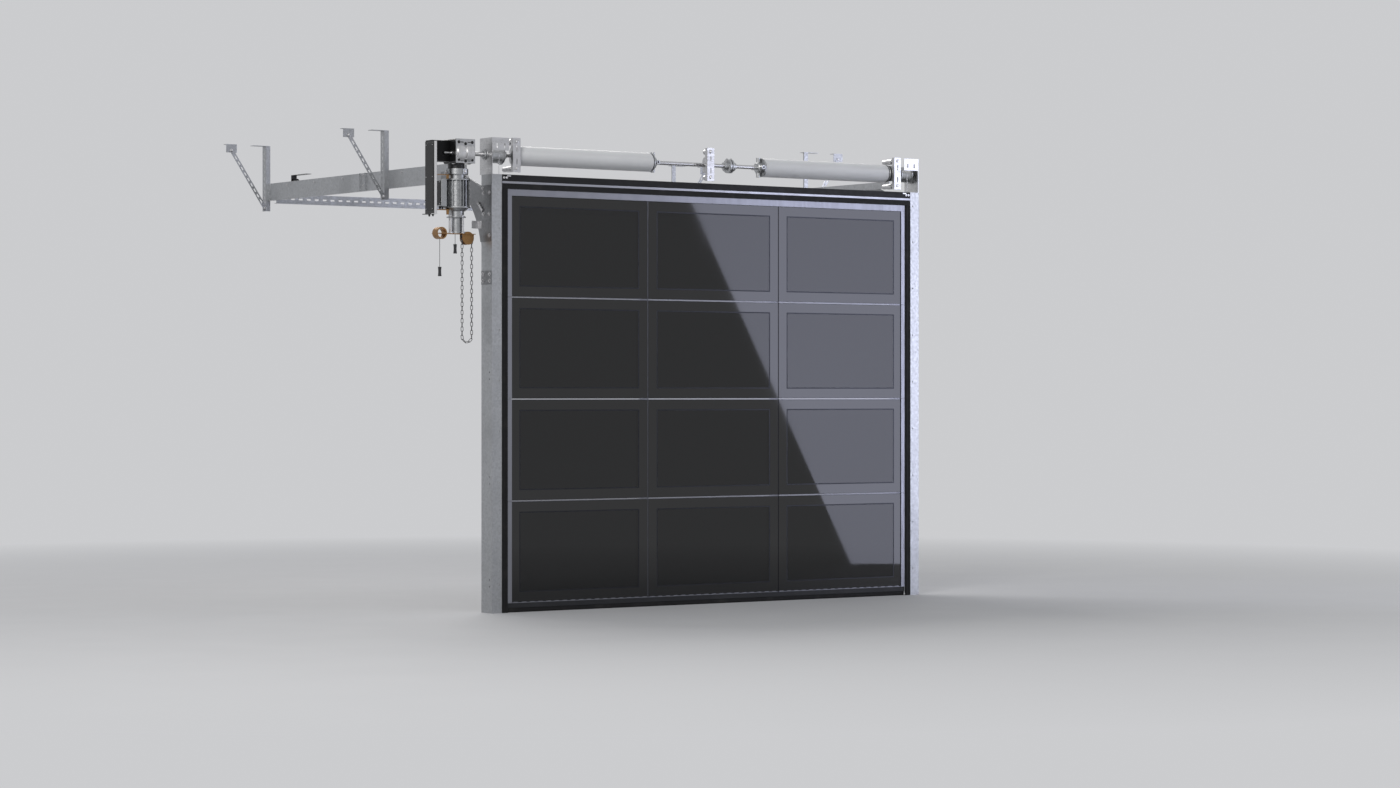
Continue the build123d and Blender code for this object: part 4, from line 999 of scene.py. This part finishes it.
# Round screw heads and glands as (along, radius) in millimetres
SCREW_HEAD = ((0, 3.4), (1.4, 3.0), (2, 1.4))
GLAND = ((0, 8), (3, 8), (4, 6.4), (12, 6.0), (13, 4.6), (16, 4.2))
GLAND_PLACES = ((-269, 122, 2419), (-269, 150, 2419), (-364, 70, 2371), (-364, 112, 2371))

# Lid on the control box: its side, how far it stands out and sinks in, its margins and screws
CONTROL_SIDE = -375 * MM
CONTROL_LID = (1.6 * MM, 0.4 * MM)
CONTROL_MARGINS = (9 * MM, 22 * MM, 12 * MM)
CONTROL_SCREW_INSET = (8 * MM, 10 * MM)

# Lid on the terminal box in millimetres
TERMINAL_LID_X = (-294, -290.5)
TERMINAL_LID_Y, TERMINAL_LID_Z = (104, 168), (2426, 2570)
TERMINAL_SCREWS_Y, TERMINAL_SCREWS_Z = (110, 162), (2433, 2563)


def make_case_lids():
    """Raised lids with screws on the control box and the terminal box, and cable glands."""
    low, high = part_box("control_box")
    lids, screws, glands = bmesh.new(), bmesh.new(), bmesh.new()
    proud, sunk = CONTROL_LID
    edge, foot_edge, top_edge = CONTROL_MARGINS
    y0, y1 = low.y + edge, high.y - edge
    z0, z1 = low.z + foot_edge, high.z - top_edge
    add_box(lids, (CONTROL_SIDE - proud, y0, z0), (CONTROL_SIDE + sunk, y1, z1))
    in_y, in_z = CONTROL_SCREW_INSET
    for y in (y0 + in_y, y1 - in_y):
        for z in (z0 + in_z, (z0 + z1) / 2, z1 - in_z):
            add_lathe(screws, in_mm(SCREW_HEAD), (CONTROL_SIDE - proud, y, z), -X, 16)
    add_mm_box(lids, TERMINAL_LID_X, TERMINAL_LID_Y, TERMINAL_LID_Z)
    for y in TERMINAL_SCREWS_Y:
        for z in TERMINAL_SCREWS_Z:
            place = (TERMINAL_LID_X[0] * MM, y * MM, z * MM)
            add_lathe(screws, in_mm(SCREW_HEAD), place, -X, 16)
    for place in in_mm(GLAND_PLACES):
        add_lathe(glands, in_mm(GLAND), place, -Z, 20)
    show("case_lids", lids, "black_steel", bevel=0.6 * MM)
    show("case_screws", screws, "bright_steel")
    show("cable_glands", glands, "black_plastic")


# Tracks, header and leaf details


# Brace bolts on the hangers' front faces: on the drop and on the brace's upper end
HANGER_FACES = (1236 * MM, 2829 * MM)
DROP_BOLT_X, DROP_BOLT_RISE = -38 * MM, 19 * MM
BRACE_BOLT_X, BRACE_BOLT_DROP = -284.5 * MM, 41 * MM

# Clamp bolts and the track angle's row, measured from the top of the rails
CLAMP_FACE = -0.5 * MM
CLAMP_Y = 1563 * MM
CLAMP_LEVELS = (-34 * MM, 30 * MM)
ANGLE_FACE = 2.5 * MM
ANGLE_START, ANGLE_PITCH, ANGLE_COUNT = 700 * MM, 380 * MM, 6
ANGLE_LEVEL = 24 * MM


def make_track_bolts():
    """Bolts of the braces, the clamps and the track angles on both sides."""
    hanger_low, hanger_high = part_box("track_hangers")
    rail_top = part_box("horizontal_tracks")[1].z
    braces = (
        (DROP_BOLT_X, hanger_low.z + DROP_BOLT_RISE),
        (BRACE_BOLT_X, hanger_high.z - BRACE_BOLT_DROP),
    )
    mesh = bmesh.new()
    for face in HANGER_FACES:
        for x, z in braces:
            for place in both_sides(x):
                add_bolt(mesh, (place, face, z), -Y, *MIDDLE_BOLT)
    for side, face in zip((-1, 1), both_sides(CLAMP_FACE)):
        for level in CLAMP_LEVELS:
            add_bolt(mesh, (face, CLAMP_Y, rail_top + level), X * side, *MIDDLE_BOLT)
    for side, face in zip((-1, 1), both_sides(ANGLE_FACE)):
        for number in range(ANGLE_COUNT):
            y = ANGLE_START + number * ANGLE_PITCH
            add_bolt(mesh, (face, y, rail_top + ANGLE_LEVEL), X * side, *LIGHT_BOLT)
    show("track_bolts", mesh, "bright_steel")


# Corner seals beside the header, with a gap over and under each
CORNER_START = FRAME_LOW.x + 70.3 * MM
CORNER_WIDTH = 39.4 * MM
CORNER_DEPTH = (-1.8 * MM, 7.8 * MM)
CORNER_HEIGHT = 32.4 * MM
CORNER_GAP = 0.3 * MM

# The header's end bolts, and the clips on its top edge
HEADER_BOLTS = (85 * MM, 104 * MM)
HEADER_BOLT_DROP = 19 * MM
CLIP_START, CLIP_WIDTH = 106 * MM, 26 * MM
CLIP_DEPTH = (-2 * MM, 0.2 * MM)
CLIP_DROP = (12 * MM, 5 * MM)

# Light strip along the header's foot: its start, its depth about the front and its levels
STRIP_START = FRAME_LOW.x + 70.5 * MM
STRIP_DEPTH = (0.3 * MM, 0.6 * MM)
STRIP_LEVELS = (1 * MM, 14 * MM)


def make_header_details():
    """Corner seals beside the header, its end bolts and the small clips on its top edge."""
    seal_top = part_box("door_seals")[1].z
    front, back = CORNER_DEPTH
    mesh = bmesh.new()
    for start in (CORNER_START, mirrored(CORNER_START + CORNER_WIDTH)):
        low = (start, front, seal_top - CORNER_HEIGHT + CORNER_GAP)
        add_box(mesh, low, (start + CORNER_WIDTH, back, seal_top - CORNER_GAP))
    show("corner_seals", mesh, "black_rubber", bevel=0.8 * MM)
    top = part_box("header_beam")[1].z
    front, back = CLIP_DEPTH
    mesh = bmesh.new()
    for x in HEADER_BOLTS:
        for place in both_sides(x):
            add_bolt(mesh, (place, 0, top - HEADER_BOLT_DROP), -Y, *HEADER_SCREW)
    for start in (CLIP_START, mirrored(CLIP_START + CLIP_WIDTH)):
        low = (start, front, top - CLIP_DROP[0])
        add_box(mesh, low, (start + CLIP_WIDTH, back, top - CLIP_DROP[1]))
    show("header_bolts", mesh, "bright_steel")


# Light tabs along the foot of the lowest panes
TAB_SIZE = (32 * MM, 2.6 * MM, 0.8 * MM)
TAB_PITCH = 58 * MM
TAB_PROUD = 0.3 * MM
TAB_LIFT = 1.6 * MM


def make_foot_tabs():
    """Row of light tabs along the lower edge of the leaf's panes."""
    low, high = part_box("section_glass_1")
    mesh = bmesh.new()
    count = int((high.x - low.x) / TAB_PITCH)
    start = DOOR_CENTRE - (count - 1) / 2 * TAB_PITCH
    for number in range(count):
        place = (start + number * TAB_PITCH, LEAF_FACE - TAB_PROUD, low.z + TAB_LIFT)
        add_plate(mesh, place, -Y, TAB_SIZE)
    show("foot_tabs", mesh, "light_aluminium")


# Borders round the windows: margins beside and above a window, and the lip along its edge
WINDOW_MARGIN = (65 * MM, 60 * MM)
BORDER_THICK = 0.5 * MM
LIP_WIDTH = 7 * MM
LIP_THICK = 0.35 * MM
EDGE_GAP = 3 * MM


def add_border(mesh, outer, inner, face, depth):
    """A flat rectangular ring on the leaf's face; outer and inner are (x0, z0, x1, z1)."""
    rings = []
    for y in (face - depth, face):
        for x0, z0, x1, z1 in (outer, inner):
            corners = ((x0, z0), (x1, z0), (x1, z1), (x0, z1))
            rings.append([mesh.verts.new((x, y, z)) for x, z in corners])
    front_out, front_in, back_out, back_in = rings
    join_rings(mesh, front_out, front_in)
    join_rings(mesh, front_in, back_in)
    join_rings(mesh, back_in, back_out)
    join_rings(mesh, back_out, front_out)


def inset(rectangle, across, up):
    """A rectangle (x0, z0, x1, z1) drawn in by a margin on its sides, foot and top."""
    x0, z0, x1, z1 = rectangle
    return (x0 + across, z0 + up, x1 - across, z1 - up)


def make_pane_borders():
    """Enamel border round each pane and the thin lip at the window's edge."""
    borders, lips = bmesh.new(), bmesh.new()
    for row in range(1, PANE_ROWS + 1):
        low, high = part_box(f"section_glass_{row}")
        for column in range(PANE_COLUMNS):
            x0 = PANE_START + column * PANE_PITCH
            whole = (x0, low.z, x0 + PANE_PITCH, high.z)
            window = inset(whole, *WINDOW_MARGIN)
            add_border(borders, inset(whole, EDGE_GAP, EDGE_GAP), window, LEAF_FACE, BORDER_THICK)
            add_border(lips, window, inset(window, LIP_WIDTH, LIP_WIDTH), LEAF_FACE, LIP_THICK)
    make_piece("pane_borders", borders, border_enamel(), bevel=0.3 * MM)
    lip = anodised("window_lips", (0.032, 0.033, 0.039), 0.30, (1, 1, 0.2))
    make_piece("window_lips", lips, lip, bevel=0.2 * MM)


def make_header_strip():
    """Light rounded strip along the header's foot."""
    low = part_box("header_beam")[0]
    near_low = (STRIP_START, low.y - STRIP_DEPTH[0], low.z + STRIP_LEVELS[0])
    far_high = (mirrored(STRIP_START), low.y + STRIP_DEPTH[1], low.z + STRIP_LEVELS[1])
    mesh = bmesh.new()
    add_box(mesh, near_low, far_high)
    strip = anodised("header_strip", (0.34, 0.345, 0.38), 0.32, (0.1, 1, 1))
    make_piece("header_strip", mesh, strip, bevel=0.25 * MM)


# Screws of the leaf's corner brackets: distances from its edge, and levels
CORNER_SCREW_OFFSETS = (22 * MM, 42 * MM)
CORNER_SCREW_LEVELS = (50 * MM, 156 * MM, 2364 * MM, 2470 * MM)


def make_corner_screws():
    """Screws of the bottom and top corner brackets on the leaf's back."""
    mesh = bmesh.new()
    for offset in CORNER_SCREW_OFFSETS:
        for place in both_sides(LEAF_LEFT + offset):
            for level in CORNER_SCREW_LEVELS:
                add_bolt(mesh, (place, PLATE_FACE, level), Y, *SHEET_SCREW)
    show("corner_screws", mesh, "bright_steel")


# Sleeves on the lifting cables, above their lower ends
SLEEVE_LEVELS = (16 * MM, 46 * MM)
SLEEVE_LENGTH = 20 * MM
SLEEVE_RADIUS = 4.4 * MM


def make_cable_ends():
    """Pressed sleeves that close each lifting cable's loop over its pin."""
    low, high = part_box("lifting_cables")
    radius = (high.y - low.y) / 2
    mesh = bmesh.new()
    for x in (low.x + radius, high.x - radius):
        for level in SLEEVE_LEVELS:
            start = Vector((x, (low.y + high.y) / 2, low.z + level))
            add_rod(mesh, start, start + Z * SLEEVE_LENGTH, SLEEVE_RADIUS, 18)
    show("cable_sleeves", mesh, "cast_aluminium")


# Floor, lamps and background


BACKDROP = (0.60, 0.605, 0.62)
BACKDROP_STRENGTH = 1.0
ROOM_LIGHT = (0.90, 0.92, 0.95)
ROOM_STRENGTH = 0.42
FLOOR_COLOUR = (0.58, 0.585, 0.60)
FLOOR_HALF = 60.0
FLOOR_MIDDLE = (DOOR_CENTRE, 1.2, 0)
FLOOR_FADE = (3.0, 9.0)


def shown_rays(nodes, link):
    """1 for the rays that show the background: straight on, in a gloss and through glass."""
    path = nodes.new("ShaderNodeLightPath")
    value = path.outputs["Is Camera Ray"]
    for name in ("Is Glossy Ray", "Is Transmission Ray"):
        either = nodes.new("ShaderNodeMath")
        either.operation = "MAXIMUM"
        link(value, either.inputs[0])
        link(path.outputs[name], either.inputs[1])
        value = either.outputs["Value"]
    return value


def light_up(node, colour, strength):
    node.inputs["Color"].default_value = (*colour, 1)
    node.inputs["Strength"].default_value = strength


def mix_shaders(nodes, link, share, shaders, output):
    """The first shader where the share is 0, the second where it is 1."""
    mix = nodes.new("ShaderNodeMixShader")
    link(share, mix.inputs["Fac"])
    for number, shader in enumerate(shaders):
        link(shader.outputs[0], mix.inputs[number + 1])
    link(mix.outputs["Shader"], nodes[output].inputs["Surface"])


def make_stage():
    """Pale floor that takes the object's shadow near it and fades into the backdrop's colour."""
    mesh = bmesh.new()
    corners = [(DOOR_CENTRE + FLOOR_HALF * u, FLOOR_HALF * v, 0) for u, v in SQUARE]
    mesh.faces.new([mesh.verts.new(corner) for corner in corners])
    surface = Surface("studio_floor", FLOOR_COLOUR, 0.0, 0.7)
    surface.rough((2, 3), 0.62, 0.76)
    nodes, link = surface.nodes, surface.link
    reach = nodes.new("ShaderNodeVectorMath")
    reach.operation = "DISTANCE"
    reach.inputs[1].default_value = FLOOR_MIDDLE
    link(surface.place, reach.inputs[0])
    fade = surface.ranged(reach.outputs["Value"], *FLOOR_FADE, 0, 1)
    share = nodes.new("ShaderNodeMath")
    share.operation = "MULTIPLY"
    link(fade, share.inputs[0])
    link(shown_rays(nodes, link), share.inputs[1])
    glow = nodes.new("ShaderNodeEmission")
    light_up(glow, BACKDROP, BACKDROP_STRENGTH)
    shaders = (surface.shader, glow)
    mix_shaders(nodes, link, share.outputs["Value"], shaders, "Material Output")
    new_object("studio_floor", mesh, surface.material)


def make_world():
    world = bpy.data.worlds.new("studio")
    bpy.context.scene.world = world
    world.use_nodes = True
    nodes = world.node_tree.nodes
    link = world.node_tree.links.new
    shown = nodes.new("ShaderNodeBackground")
    light_up(nodes["Background"], ROOM_LIGHT, ROOM_STRENGTH)
    light_up(shown, BACKDROP, BACKDROP_STRENGTH)
    shaders = (nodes["Background"], shown)
    mix_shaders(nodes, link, shown_rays(nodes, link), shaders, "World Output")


def add_lamp(name, place, target, width, height, power, colour, roll=0.0, spread=pi):
    data = bpy.data.lights.new(name, "AREA")
    data.shape = "RECTANGLE"
    data.size = width
    data.size_y = height
    data.energy = power
    data.color = colour
    data.spread = spread
    lamp = bpy.data.objects.new(name, data)
    toward = (Vector(target) - Vector(place)).normalized()
    rotation = toward.to_track_quat("-Z", "Y").to_matrix().to_4x4()
    lamp.matrix_world = Matrix.Translation(place) @ rotation @ Matrix.Rotation(roll, 4, "Z")
    lamp.visible_camera = False
    bpy.context.collection.objects.link(lamp)


# The softbox shows in the glass as a slanted pale field over the right-hand panes
SOFTBOX = Vector((5.83, -2.91, 1.87))
SOFTBOX_TARGET = SOFTBOX + Vector((-0.5946, 0.8040, 0.0))
SOFTBOX_TURN = (radians(23.8), radians(80))

# Lamps: name, place, target, width, height, power and colour; the first one's roll and spread
LAMPS = (
    ("softbox_right", SOFTBOX, SOFTBOX_TARGET, 2.8, 4.4, 20, (0.76, 0.79, 1.0), *SOFTBOX_TURN),
    ("softbox_left", (-6.0, -6.5, 6.5), (1.4, 0.3, 1.8), 3.5, 3.5, 400, (1.0, 0.98, 0.95)),
    ("top_back", (1.6, 4.5, 6.5), (1.6, 0.6, 1.5), 5.0, 2.5, 180, (1.0, 0.97, 0.94)),
)


def make_lamps():
    for lamp in LAMPS:
        add_lamp(*lamp)


add_camera()
dress_nodes()
make_springs()
make_hand_chain()
make_lifting_cables()
make_pull_cords()
make_plate_bolts()
make_bracket_bolts()
make_hinge_screws()
make_coupling_nuts()
make_cone_screws()
make_gear_hub()
make_cover_details()
make_motor_details()
make_operator_brackets()
make_release_link()
make_case_lids()
make_track_bolts()
make_header_details()
make_foot_tabs()
make_pane_borders()
make_header_strip()
make_corner_screws()
make_cable_ends()
make_stage()
make_world()
make_lamps()
